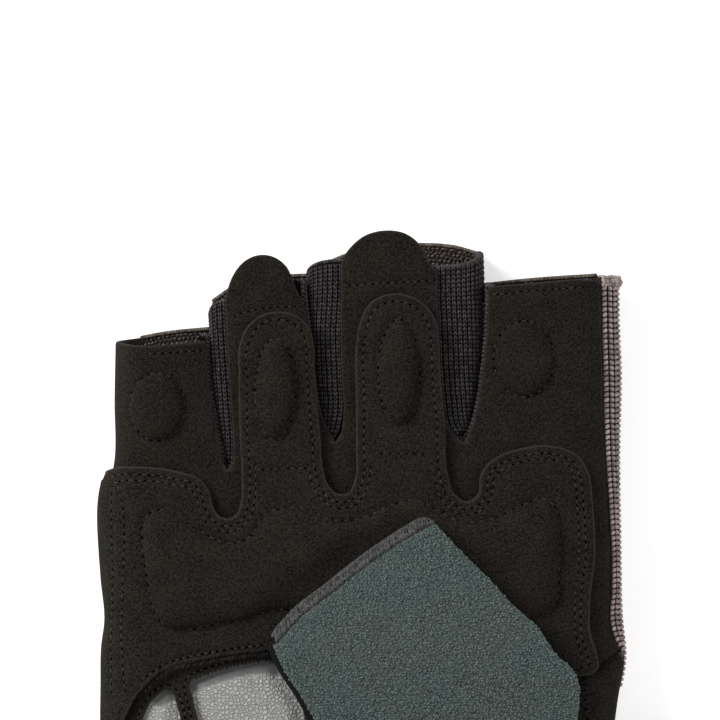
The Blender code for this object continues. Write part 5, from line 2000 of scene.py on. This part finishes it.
@dataclass
class KnitBack:
    """The knitted back of the hand and fingers, which wraps round the index side."""

    palm: SuedePalm
    spacing: float = 1.3
    slit: float = 0.2
    wale: float = 1.7
    course: float = 1.07
    columns: int = 10
    thumb_columns: int = 3
    seam_rows: tuple[float, float] = (-10.3, 62.6)
    thumb_rows: tuple[float, float] = (-17.8, -9.4)
    lining_rows: int = 9
    lining_spacing: float = 0.95
    lining_course: float = 0.8
    hem_spacing: float = 0.42
    short: float = 0.1

    def outline(self) -> Array:
        """Draws the back flat.

        Returns:
            Its outline, up the little finger's side, along the rims and down the index seam.
        """
        form, step = self.palm.form, 1.1
        rims = [BACK_RIM_PINKY, BACK_RIM_RING, BACK_RIM_MIDDLE, BACK_RIM_INDEX]
        side = tuple(form.side_edge(np.array(self.palm.side_top), -1))
        runs = [form.side_edge(y_run(self.palm.cuff_y, self.palm.side_top, step), -1)]
        runs.append(smooth_run([side, *BACK_RIM_PINKY], step))
        gaps = (GAP_PINKY_RING, GAP_RING_MIDDLE, GAP_MIDDLE_INDEX)
        for table, line, before, rim in zip(gaps, form.lines, rims, rims[1:]):
            end = table[-1][0]
            down, up = y_run(before[-1][1] - 0.6, end + 1.5, step), y_run(end + 1.5, rim[0][1] - 0.6, step)
            runs.append(stack(line(down) - self.slit, down))
            runs.append(np.array([(float(line(end)), end)]))
            runs.append(stack(line(up) + self.slit, up))
            runs.append(smooth_run(rim, step))
        rim_end, seam = BACK_RIM_INDEX[-1], tuple(form.seam_on_back(INDEX_SEAM[:1])[0])
        between = (0.6 * rim_end[0] + 0.4 * seam[0], 0.5 * (rim_end[1] + seam[1]))
        runs.append(smooth_run([rim_end, between, seam], step))
        runs.append(form.seam_on_back(smooth_run(INDEX_SEAM, step)))
        return joined(*runs, *self.palm.lower_runs())

    def build(self) -> Piece:
        """Makes the back.

        Returns:
            The mesh object.
        """
        sheet = Cloth("knit_back", Face.BACK, self.outline(), level_at(0.0), KNIT, self.spacing)
        obj = dress(sheet.build(self.palm.form), GREY_KNIT, "grey_knit", "back_panel")
        sheet.declare(obj, "laid", "table")
        return obj

    def yarn(self) -> Piece:
        """Makes the stitches on the index side and by the thumb, the ribs, and the rolled hem.

        Returns:
            The piece of light yarn; the dark ribs, painted shade between the columns, are a piece of their
            own.
        """
        beads = Beads(6, 4)
        seam = self.palm.form.seam_on_back(smooth_run(INDEX_SEAM, 0.5))
        order = np.argsort(seam[:, 1])
        rows = np.arange(*self.seam_rows, self.course)
        edge = np.interp(rows, seam[order, 1], seam[order, 0])
        # Dark beads in the furrows between the columns: painted shade.
        ribs = Beads(5, 4)
        for column in range(self.columns):
            self.knobs(beads, edge - self.short - (column + 0.5) * self.wale, rows, column)
            self.ribs(ribs, edge - self.short - column * self.wale, rows)
        dress(ribs.build("knit_back_rib_shade"), RIB_SHADE, "grey_knit")
        low = np.arange(*self.thumb_rows, self.course)
        side = self.palm.form.side_edge(low, 1)[:, 0]
        for column in range(self.thumb_columns):
            self.knobs(beads, side - self.short - column * self.wale, low, column)
        self.roll(beads, float(edge[-1]))
        return dress(beads.build("knit_back_yarn"), GREY_YARN, "grey_knit")

    def knobs(self, beads: Beads, across: Array, rows: Array, column: int) -> None:
        """Adds one column of thick stitches, each a leaning knob.

        Args:
            beads: Where the yarn is gathered.
            across: Flat coordinate of each stitch across the glove.
            rows: Flat coordinate of each stitch along the glove.
            column: Number of the column, from which the stitches lean one way or the other.
        """
        form = self.palm.form
        lean = 0.27 * self.course * (1 if column % 2 else -1)
        up = form.up(Face.BACK, across, rows)
        half = 0.36 * self.wale
        low = form.lift(Face.BACK, across - half, rows - lean, 0.1)
        high = form.lift(Face.BACK, across + half, rows + lean, 0.1)
        beads.add(low, high, up, width=0.43, height=0.46, dip=0.26)

    def ribs(self, beads: Beads, across: Array, rows: Array) -> None:
        """Adds dark beads between two columns and across them, as painted shade in the furrows.

        Args:
            beads: Where the dark beads are gathered.
            across: Flat coordinate of the furrow across the glove, for each row.
            rows: Flat coordinate of each row along the glove.
        """
        form = self.palm.form
        up = form.up(Face.BACK, across, rows)
        low = form.lift(Face.BACK, across, rows - 0.62 * self.course, 0.06)
        high = form.lift(Face.BACK, across, rows + 0.62 * self.course, 0.06)
        beads.add(low, high, up, width=0.2, height=0.14, dip=0.04)
        low = form.lift(Face.BACK, across - 0.9 * self.wale, rows + 0.5 * self.course, 0.0)
        high = form.lift(Face.BACK, across - 0.1 * self.wale, rows + 0.5 * self.course, 0.0)
        beads.add(low, high, up, width=0.12, height=0.14, dip=0.04)

    def lining(self) -> Piece:
        """Makes the loops on the inner side of the back and along its rims, where the fingers are open.

        Returns:
            The piece of yarn.
        """
        form = self.palm.form
        random = np.random.default_rng(61)
        beads = Beads(6, 4)
        for rim in (BACK_RIM_PINKY, BACK_RIM_RING, BACK_RIM_MIDDLE, BACK_RIM_INDEX):
            line = smooth_run(rim, self.lining_spacing)[1:-1]
            for row in range(self.lining_rows):
                set_back = [0.48 * (row % 2), 0.7 + self.lining_course * row]
                flat = line - set_back + random.normal(0, 0.07, line.shape)
                low, high = (flat + [sign * 0.36, sign * 0.1] for sign in (-1, 1))
                ends = [form.lift(Face.BACK, *end.T, -KNIT - 0.02) for end in (low, high)]
                inward = form.lift(Face.BACK, *flat.T, -KNIT - 1.0) - form.lift(Face.BACK, *flat.T, -KNIT)
                beads.add(*ends, inward, width=0.22, height=0.22, dip=0.12)
            self.hem(beads, smooth_run(rim, self.hem_spacing))
        return dress(beads.build("knit_back_lining"), LINING_YARN, "grey_knit")

    def roll(self, beads: Beads, edge: float, radius: float = 1.05, y: float = 63.9) -> None:
        """Adds the rolled hem at the top of the index side.

        Args:
            beads: Where the yarn is gathered.
            edge: Flat coordinate of the seam that the roll starts at.
            radius: Radius of the roll.
            y: Flat coordinate of its middle along the glove.
        """
        form = self.palm.form
        random = np.random.default_rng(41)
        across = np.arange(edge - 11.0, edge - 0.2, 0.66)
        turns = np.linspace(-0.35 * math.pi, 1.1 * math.pi, 6)
        for a, b in zip(turns, turns[1:]):
            ends = []
            for angle, ahead in ((a, -0.12), (b, 0.12)):
                bunched = radius * (1 + 0.16 * np.sin(1.9 * across)) + random.normal(0, 0.05, len(across))
                tilted = angle - math.pi / 2 + 0.4
                u = across + ahead + 0.25 * math.sin(angle)
                offset = -1.0 + bunched * (0.6 + math.cos(tilted))
                ends.append(form.lift(Face.BACK, u, y + bunched * math.sin(tilted), offset))
            middle = form.lift(Face.BACK, across, y + 0 * across, 0.5)
            beads.add(*ends, (ends[0] + ends[1]) / 2 - middle, width=0.36, height=0.34, dip=0.08)

    def hem(self, beads: Beads, line: Array) -> None:
        """Adds the loops of yarn that roll over the rim of one finger's back.

        Args:
            beads: Where the yarn is gathered.
            line: Flat points along the rim, one for each loop.
        """
        form = self.palm.form
        across = np.gradient(line, axis=0)
        across /= np.linalg.norm(across, axis=1, keepdims=True)
        flat = line - stack(across[:, 1], -across[:, 0]) * 0.1
        low = form.lift(Face.BACK, *(flat - 0.2 * across).T, 0.0)
        high = form.lift(Face.BACK, *(flat + 0.2 * across).T, -KNIT - 0.5)
        low[:, 2] = np.maximum(low[:, 2], 0.25)
        high[:, 2] = np.maximum(high[:, 2], low[:, 2] + 1.5)
        out = stack(-across[:, 1], across[:, 0], 0.0)
        beads.add(low, high, out, width=0.38, height=0.42, dip=0.25)


@dataclass
class PaleInset:
    """One inset: it swells up in its window, and a smooth band runs along its upper edge, painted darker as
    shadow.
    """

    window: Array
    bulge: float = 1.3
    band: float = 2.6
    groove: float = 0.25
    edge: Trail = field(init=False)
    upper: Trail = field(init=False)

    def __post_init__(self) -> None:
        """Samples the window's edge."""
        self.edge = Trail(self.window, closed=True)
        self.upper = Trail(HeelWindows.upper_edge(self.window))

    def plain(self, u: Array, y: Array) -> Array:
        """The smooth band along the upper edge, from 0 to 1, which the material paints darker as shadow."""
        return 1 - smoothstep(self.band - 0.35, self.band + 0.35, self.upper.nearest(u, y)[0])

    def surface(self, u: Array, y: Array) -> Array:
        """Offset of the inset's upper side.

        Args:
            u: Flat coordinates across the glove.
            y: Flat coordinates along the glove.

        Returns:
            The offset at each place.
        """
        away = np.where(inside(stack(u, y), self.window), self.edge.nearest(u, y)[0], 0.0)
        swell = self.bulge * smoothstep(0.4, 3.4, away) - SUEDE - GAP
        return swell - self.groove * self.plain(u, y)


@dataclass
class HeelWindows:
    """The two pale insets that show through the windows at the heel of the hand."""

    palm: SuedePalm
    margin: float = 1.4
    thickness: float = 1.0
    spacing: float = 0.6

    def build(self) -> list[Piece]:
        """Makes both insets.

        Returns:
            The outer and the inner one.
        """
        made = []
        for name, window in zip(("outer", "inner"), self.palm.windows):
            inset = PaleInset(window)
            sheet = Cloth(
                f"pale_inset_{name}", Face.PALM, self.palm.around(window, self.margin), inset.surface,
                self.thickness, self.spacing, rounding=0.3, layers={"plain": inset.plain},
            )
            obj = dress(sheet.build(self.palm.form), PALE_INSET, "pale_inset", f"grip_inset_{name}")
            made.append(obj)
        return made

    @staticmethod
    def upper_edge(window: Array) -> Array:
        """The run of a window's edge that faces the fingers.

        Args:
            window: Points round the window.

        Returns:
            The points of that run, in their order.
        """
        """The run of a window's edge that faces the fingers."""
        along = np.abs(np.roll(window, -1, axis=0) - np.roll(window, 1, axis=0))
        high = (window[:, 1] > window[:, 1].max() - 5.2) & (along[:, 1] < 0.8 * along[:, 0])
        start = int(np.flatnonzero(high & ~np.roll(high, 1))[0])
        turned = np.roll(window, -start, axis=0)
        return turned[: int(high.sum())]


@dataclass
class WristStrap:
    """The closing strap, its free end turned up over the palm: fleece on a backing, with a sewn end."""

    form: GloveForm
    backing: float = 1.0
    fleece: float = 1.8
    hook: float = HOOK_THICKNESS
    backing_inset: float = 1.3
    fleece_inset: float = 2.1
    wider: float = 1.4
    edging_half_width: float = 1.5
    edging_half_height: float = 1.75
    pile_rounding: float = 0.9
    pile_spacing: float = 0.6
    stitch_spacing: float = 0.44

    def lift(self, u: Array, y: Array) -> Array:
        """Offset of the underside of the strap."""
        return GAP + (STRAP_LIFT_TIP - GAP) * smoothstep(*STRAP_SINKS, y)

    def raised(self, by: float) -> Level:
        """A surface this far above the strap's underside."""
        return lambda u, y: self.lift(u, y) + by

    def outline(self, inset: float, wider: float = 0.0, step: float = 0.8) -> Array:
        """Draws a layer of the strap flat.

        Args:
            inset: How far its end is set back for the edging.
            wider: How far its left edge stands out.
            step: Distance between points of the outline.

        Returns:
            Its outline.
        """
        end = smooth_run(STRAP_END, step)
        direction = np.array(STRAP_END[-1]) - np.array(STRAP_END[0])
        direction /= np.linalg.norm(direction)
        back = inset * np.array([direction[1], -direction[0]])
        left = smooth_run(STRAP_LEFT, step) - [wider, 0]
        right = smooth_run(STRAP_RIGHT, step)
        right = right[np.dot(right - end[-1], back) > inset**2 * 1.05]
        left = left[np.dot(left - end[0], back) > inset**2 * 1.05]
        return joined(end + back, right, smooth_run(STRAP_ROOT, step), left)

    def pile(self, u: Array, y: Array) -> Array:
        """Top of the fleece."""
        return self.lift(u, y) + self.backing + GAP + self.fleece

    def build(self) -> list[Piece]:
        """Makes the layers of the strap.

        Returns:
            The backing, the fleece and the hook patch.
        """
        back = Cloth(
            "strap_back", Face.PALM, self.outline(self.backing_inset, self.wider), self.raised(self.backing),
            self.backing, 1.6, rounding=0.35,
        )
        pile = Cloth(
            "strap_fleece", Face.PALM, self.outline(self.fleece_inset), self.pile, self.fleece, 0.8,
            rounding=self.pile_rounding,
        )
        hooks = Cloth(
            "strap_hooks", Face.PALM, smooth_loop(HOOK_PATCH, 1.2), self.raised(-GAP), self.hook, 1.6,
            rounding=0.35,
        )
        layers = (
            (back, BACKING, "strap_backing", "strap_backing"),
            (pile, FLEECE, "strap_fleece", "strap_loop_face"),
            (hooks, HOOK, "hook", "hook_patch"),
        )
        made = []
        for sheet, finish, slot, node in layers:
            obj = dress(sheet.build(self.form), finish, slot, node)
            sheet.declare(obj, "laid", "suede_overlay")
            made.append(obj)
        return made

    def loops(self) -> Piece:
        """Makes the short loops of the fleece's pile.

        Returns:
            The piece of loops.
        """
        outline = self.outline(self.fleece_inset + 0.1)
        random = np.random.default_rng(23)
        flat = staggered(outline.min(axis=0), outline.max(axis=0), self.pile_spacing)
        flat = flat + random.uniform(-0.2, 0.2, flat.shape)
        flat = flat[inside(flat, outline)]
        away, _ = Trail(outline, closed=True).nearest(*flat.T)
        part = 1 - np.clip(away / self.pile_rounding, 0, 1)
        drop = 0.9 * self.pile_rounding * (1 - np.sqrt(1 - part**2))
        angle = random.uniform(0, 2 * math.pi, len(flat))
        half = stack(np.cos(angle), np.sin(angle)) * random.uniform(0.26, 0.5, len(flat))[:, None]
        top = self.pile(*flat.T) - drop + random.uniform(-0.1, 0.1, len(flat))
        ends = [self.form.lift(Face.PALM, *(flat + sign * half).T, top) for sign in (-1, 1)]
        up = self.form.lift(Face.PALM, *flat.T, top + 1) - self.form.lift(Face.PALM, *flat.T, top)
        beads = Beads(4, 2)
        beads.add(*ends, up, width=0.23, height=0.24, dip=0.16)
        return dress(beads.build("strap_fleece_loops"), FLEECE_LOOPS, "strap_fleece")

    def wound(self, centre: Trail, across: Array, reach: Array, angle: float | Array) -> Array:
        """Reads the oval that the thread of the edging winds round.

        Args:
            centre: Line along the middle of the edging.
            across: Flat direction across it.
            reach: Distances along it.
            angle: Turn round the oval at each distance.

        Returns:
            Points on the oval, which is slim at the far end.
        """
        flat = centre.at(np.clip(reach, 0, centre.length))
        middle = self.lift(*flat.T) + (self.backing + GAP + self.fleece) / 2
        spine = self.form.lift(Face.PALM, *flat.T, middle)
        width, height = self.edging_half_width - 0.15, self.edging_half_height - 0.3
        end = np.clip((reach - centre.length + 2.2) / 2.3, 0, 1)
        slim = np.sqrt(np.maximum(1 - end**2, 0.05))[:, None]
        side = (np.cos(angle) * slim + 1 - slim) * width * stack(*across, 0.0)
        return spine + side + np.sin(angle) * slim * stack(0.0, 0.0, height)

    def edging(self) -> Piece:
        """Makes the overcast thread over the end of the strap: wound stitches and three rows of links.

        Returns:
            The piece of thread.
        """
        path = smooth_run(STRAP_END, 0.5)
        past = 3.2
        path = np.concatenate([path, [(1 + past) * path[-1] - past * path[-2]]])
        direction = path[-1] - path[0]
        direction /= np.linalg.norm(direction)
        across = np.array([direction[1], -direction[0]])
        centre = Trail(path + self.edging_half_width * across)
        random = np.random.default_rng(31)
        beads = Beads(6, 5)
        count = int(centre.length / self.stitch_spacing)
        reach = np.linspace(0.3, centre.length - 0.3, count)
        lean = random.normal(0, 0.1, count)
        turn = np.linspace(-math.pi * 0.1, math.pi * 1.15, 8)
        for a, b in zip(turn, turn[1:]):
            ahead = [1.9 * (angle / math.pi) - 0.4 + lean for angle in (a, b)]
            low = self.wound(centre, across, reach + ahead[0], a)
            high = self.wound(centre, across, reach + ahead[1], b)
            out, far = (self.wound(centre, across, reach, (a + b) / 2 + more) for more in (0, math.pi))
            out = out - far
            beads.add(low - 0.1 * (high - low), high + 0.1 * (high - low), out, 0.27, 0.24)
        for angle, spacing in ((0.18 * math.pi, 0.7), (0.45 * math.pi, 0.62), (0.74 * math.pi, 0.7)):
            links = np.arange(0.4, centre.length - 0.9, spacing)
            sway = 0.09 * math.pi * (1 - 2 * (np.arange(len(links)) % 2))[:, None]
            low = self.wound(centre, across, links, angle - sway)
            high = self.wound(centre, across, links + spacing * 0.9, angle + sway)
            out, far = (self.wound(centre, across, links, angle + more) for more in (0, math.pi))
            out = out - far
            raised = 0.22 * out / np.linalg.norm(out, axis=1, keepdims=True)
            beads.add(low + raised, high + raised, out, width=0.26, height=0.26, dip=0.1)
        return dress(beads.build("strap_edging"), EDGING_THREAD, "edging_thread", "strap_end_edging")


@dataclass
class ThumbTube:
    """The short open thumb, of suede on the palm side and of knit on the back."""

    palm: SuedePalm
    length: float = 26.0
    taper: float = 0.14

    def half(self, name: str, sign: int, finish: Finish, slot: str, node: str) -> Piece:
        """Makes one half of the tube.

        Args:
            name: Name of the piece.
            sign: 1 for the palm side and -1 for the back.
            finish: What it is made of.
            slot: The record's material that this finish belongs to.
            node: The solid that it replaces.

        Returns:
            The mesh object.
        """
        palm = self.palm
        form = palm.form
        radius = float(form.side_height(palm.thumb_y)) / 2
        outer, inner, flat = [], [], []
        for angle in np.linspace(0.025, math.pi - 0.025, 40):
            root_y = palm.thumb_y + palm.thumb_half_width * math.cos(angle)
            root = float(form.side_height(root_y)) / 2
            turn = math.acos(min(1.0, palm.thumb_half_height * math.sin(angle) / root))
            side = float(form.right(root_y))
            root_x = side - root * (1 - math.sin(turn))
            x = root_x + np.linspace(0, 1, 26) * (side + self.length - root_x)
            scale = 1 - self.taper * (x - side) / self.length
            middle = palm.thumb_y + math.tan(palm.thumb_tilt) * (x - side)
            for ring, less in ((outer, GAP), (inner, GAP + SUEDE)):
                width, height = scale * palm.thumb_half_width - less, scale * palm.thumb_half_height - less
                z = radius + sign * np.maximum(height * math.sin(angle), GAP / 2)
                ring.append(stack(x, middle + width * math.cos(angle), z))
            flat.append(stack(angle * palm.thumb_half_width + 0 * x, x, 0 * x))
        obj = add_shell(name, np.array(outer), np.array(inner), np.array(flat), flipped=sign > 0)
        dress(obj, finish, slot, node)
        shell = np.array(outer)
        return obj

    def build(self) -> list[Piece]:
        """Makes both halves."""
        return [
            self.half("thumb_front", 1, SUEDE_FINISH, "suede", "thumb_palm"),
            self.half("thumb_rear", -1, GREY_KNIT, "grey_knit", "thumb_back"),
        ]


@dataclass
class CuffBinding:
    """The knitted band sewn over the edge of the opening for the hand."""

    palm: SuedePalm
    length: float = 5.5
    thickness: float = 2.2
    proud: float = 0.5
    rounding: float = 0.8
    turnover: float = 200.0

    def build(self) -> Piece:
        """Makes the band.

        Returns:
            The mesh object, whose flat coordinate runs back from the turnover on the underside.
        """
        form = self.palm.form
        outer, inner, flat = [], [], []
        for along in np.linspace(0, 1, 13):
            y = self.palm.cuff_y - GAP - self.length * along
            radius = float(form.side_height(y)) / 2
            low, high = float(form.left(y)) + radius, float(form.right(y)) - radius
            turns = np.linspace(0, math.pi / 2, 14)
            across = np.linspace(low, high, 90)
            u = np.concatenate([low - radius * turns[:0:-1], across, high + radius * turns[1:-1]])
            edge = self.rounding * (1 - math.sqrt(max(0.0, 1 - (2 * along - 1) ** 4)))
            for ring, offset in ((outer, self.proud - edge), (inner, self.proud - self.thickness + edge)):
                top = form.lift(Face.PALM, u, y + 0 * u, offset)
                bottom = form.lift(Face.BACK, u[::-1], y + 0 * u, offset)
                if offset > 0:
                    bottom[:, 2] = np.maximum(bottom[:, 2], 0)
                ring.append(np.concatenate([top, bottom]))
            flat.append(stack(np.concatenate([u, self.turnover - u[::-1]]), y, 0.0))
        outer, inner, flat = (np.stack(rings, 1) for rings in (outer, inner, flat))
        obj = add_shell("cuff_band", outer, inner, flat, closed=True, flipped=True, lined=False)
        dress(obj, BINDING, "binding", "cuff_binding")
        return obj


@dataclass
class Studio:
    """A plain pale table, soft light from the upper left and the camera straight above."""

    distance: float = 0.66
    frame: float = 0.144
    middle: tuple[float, float] = (-0.001, 0.048)
    level: float = 0.018
    sensor: float = 36.0
    sky: float = 0.38
    paper_glow: float = 0.55
    table_half: float = 1.5
    table_drop: float = 0.0002

    def build(self) -> None:
        """Makes the table, the lights and the camera."""
        scene = bpy.context.scene
        scene.view_settings.view_transform = "Standard"
        world = bpy.data.worlds.new("studio")
        world.use_nodes = True
        world.node_tree.nodes["Background"].inputs["Color"].default_value = (1.0, 1.0, 1.0, 1.0)
        world.node_tree.nodes["Background"].inputs["Strength"].default_value = self.sky
        scene.world = world
        mesh = bpy.data.meshes.new("table")
        half = self.table_half
        corners = [(-half, -half, 0), (half, -half, 0), (half, half, 0), (-half, half, 0)]
        mesh.from_pydata(corners, [], [(0, 1, 2, 3)])
        table = bpy.data.objects.new("table", mesh)
        table.location.z = -self.table_drop
        scene.collection.objects.link(table)
        paper = bpy.data.materials.new("paper")
        paper.use_nodes = True
        nodes = Nodes(paper.node_tree)
        fibre = nodes.noise(nodes.add("TexCoord").outputs["Object"], 0.002, 3.0)
        color = nodes.blend(fibre, linear(249, 249, 249), linear(253, 253, 253))
        shader = nodes.add("BsdfPrincipled", {
            "Base Color": color, "Roughness": 1.0, "Specular IOR Level": 0.0, "Emission Color": color,
            "Emission Strength": self.paper_glow,
        })
        nodes.add("OutputMaterial", {"Surface": shader.outputs["BSDF"]})
        mesh.materials.append(paper)
        self.lamp("key", (-0.9, 0.66, 0.8), 0.6, 14.5)
        self.lamp("fill", (0.9, -0.2, 1.0), 1.2, 4.5)
        data = bpy.data.cameras.new("camera")
        data.sensor_width = self.sensor
        data.lens = self.sensor * self.distance / self.frame
        camera = bpy.data.objects.new("camera", data)
        camera.location = (*self.middle, self.level + self.distance)
        scene.collection.objects.link(camera)
        scene.camera = camera

    def lamp(self, name: str, place: tuple[float, float, float], size: float, power: float) -> None:
        """Adds a square soft light that points at the middle of the glove.

        Args:
            name: Name of the light.
            place: Where it hangs, in metres.
            size: Length of its side, in metres.
            power: Its power in watts.
        """
        data = bpy.data.lights.new(name, "AREA")
        data.shape, data.size, data.energy = "SQUARE", size, power
        lamp = bpy.data.objects.new(name, data)
        lamp.location = place
        aim = Vector((0.0, 0.03, 0.0)) - Vector(place)
        lamp.rotation_euler = aim.to_track_quat("-Z", "Y").to_euler()
        bpy.context.scene.collection.objects.link(lamp)


def main() -> None:
    """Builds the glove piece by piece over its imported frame."""
    logging.basicConfig(level=logging.INFO, format="%(name)s %(message)s")
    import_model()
    form = GloveForm()
    needle = Needlework(form)
    palm = SuedePalm(form)
    overlay = PalmOverlay(form)
    strap = WristStrap(form)
    palm.build()
    overlay.build()
    FingerSides(form).build()
    back = KnitBack(palm)
    back.build()
    back.yarn()
    back.lining()
    HeelWindows(palm).build()
    strap.build()
    strap.edging()
    ThumbTube(palm).build()
    CuffBinding(palm).build()
    strap.loops()
    palm.sew(needle)
    palm.close(needle)
    overlay.sew(needle)
    needle.build()
    Studio().build()
    bpy.context.view_layer.update()


if __name__ == "__main__":
    main()
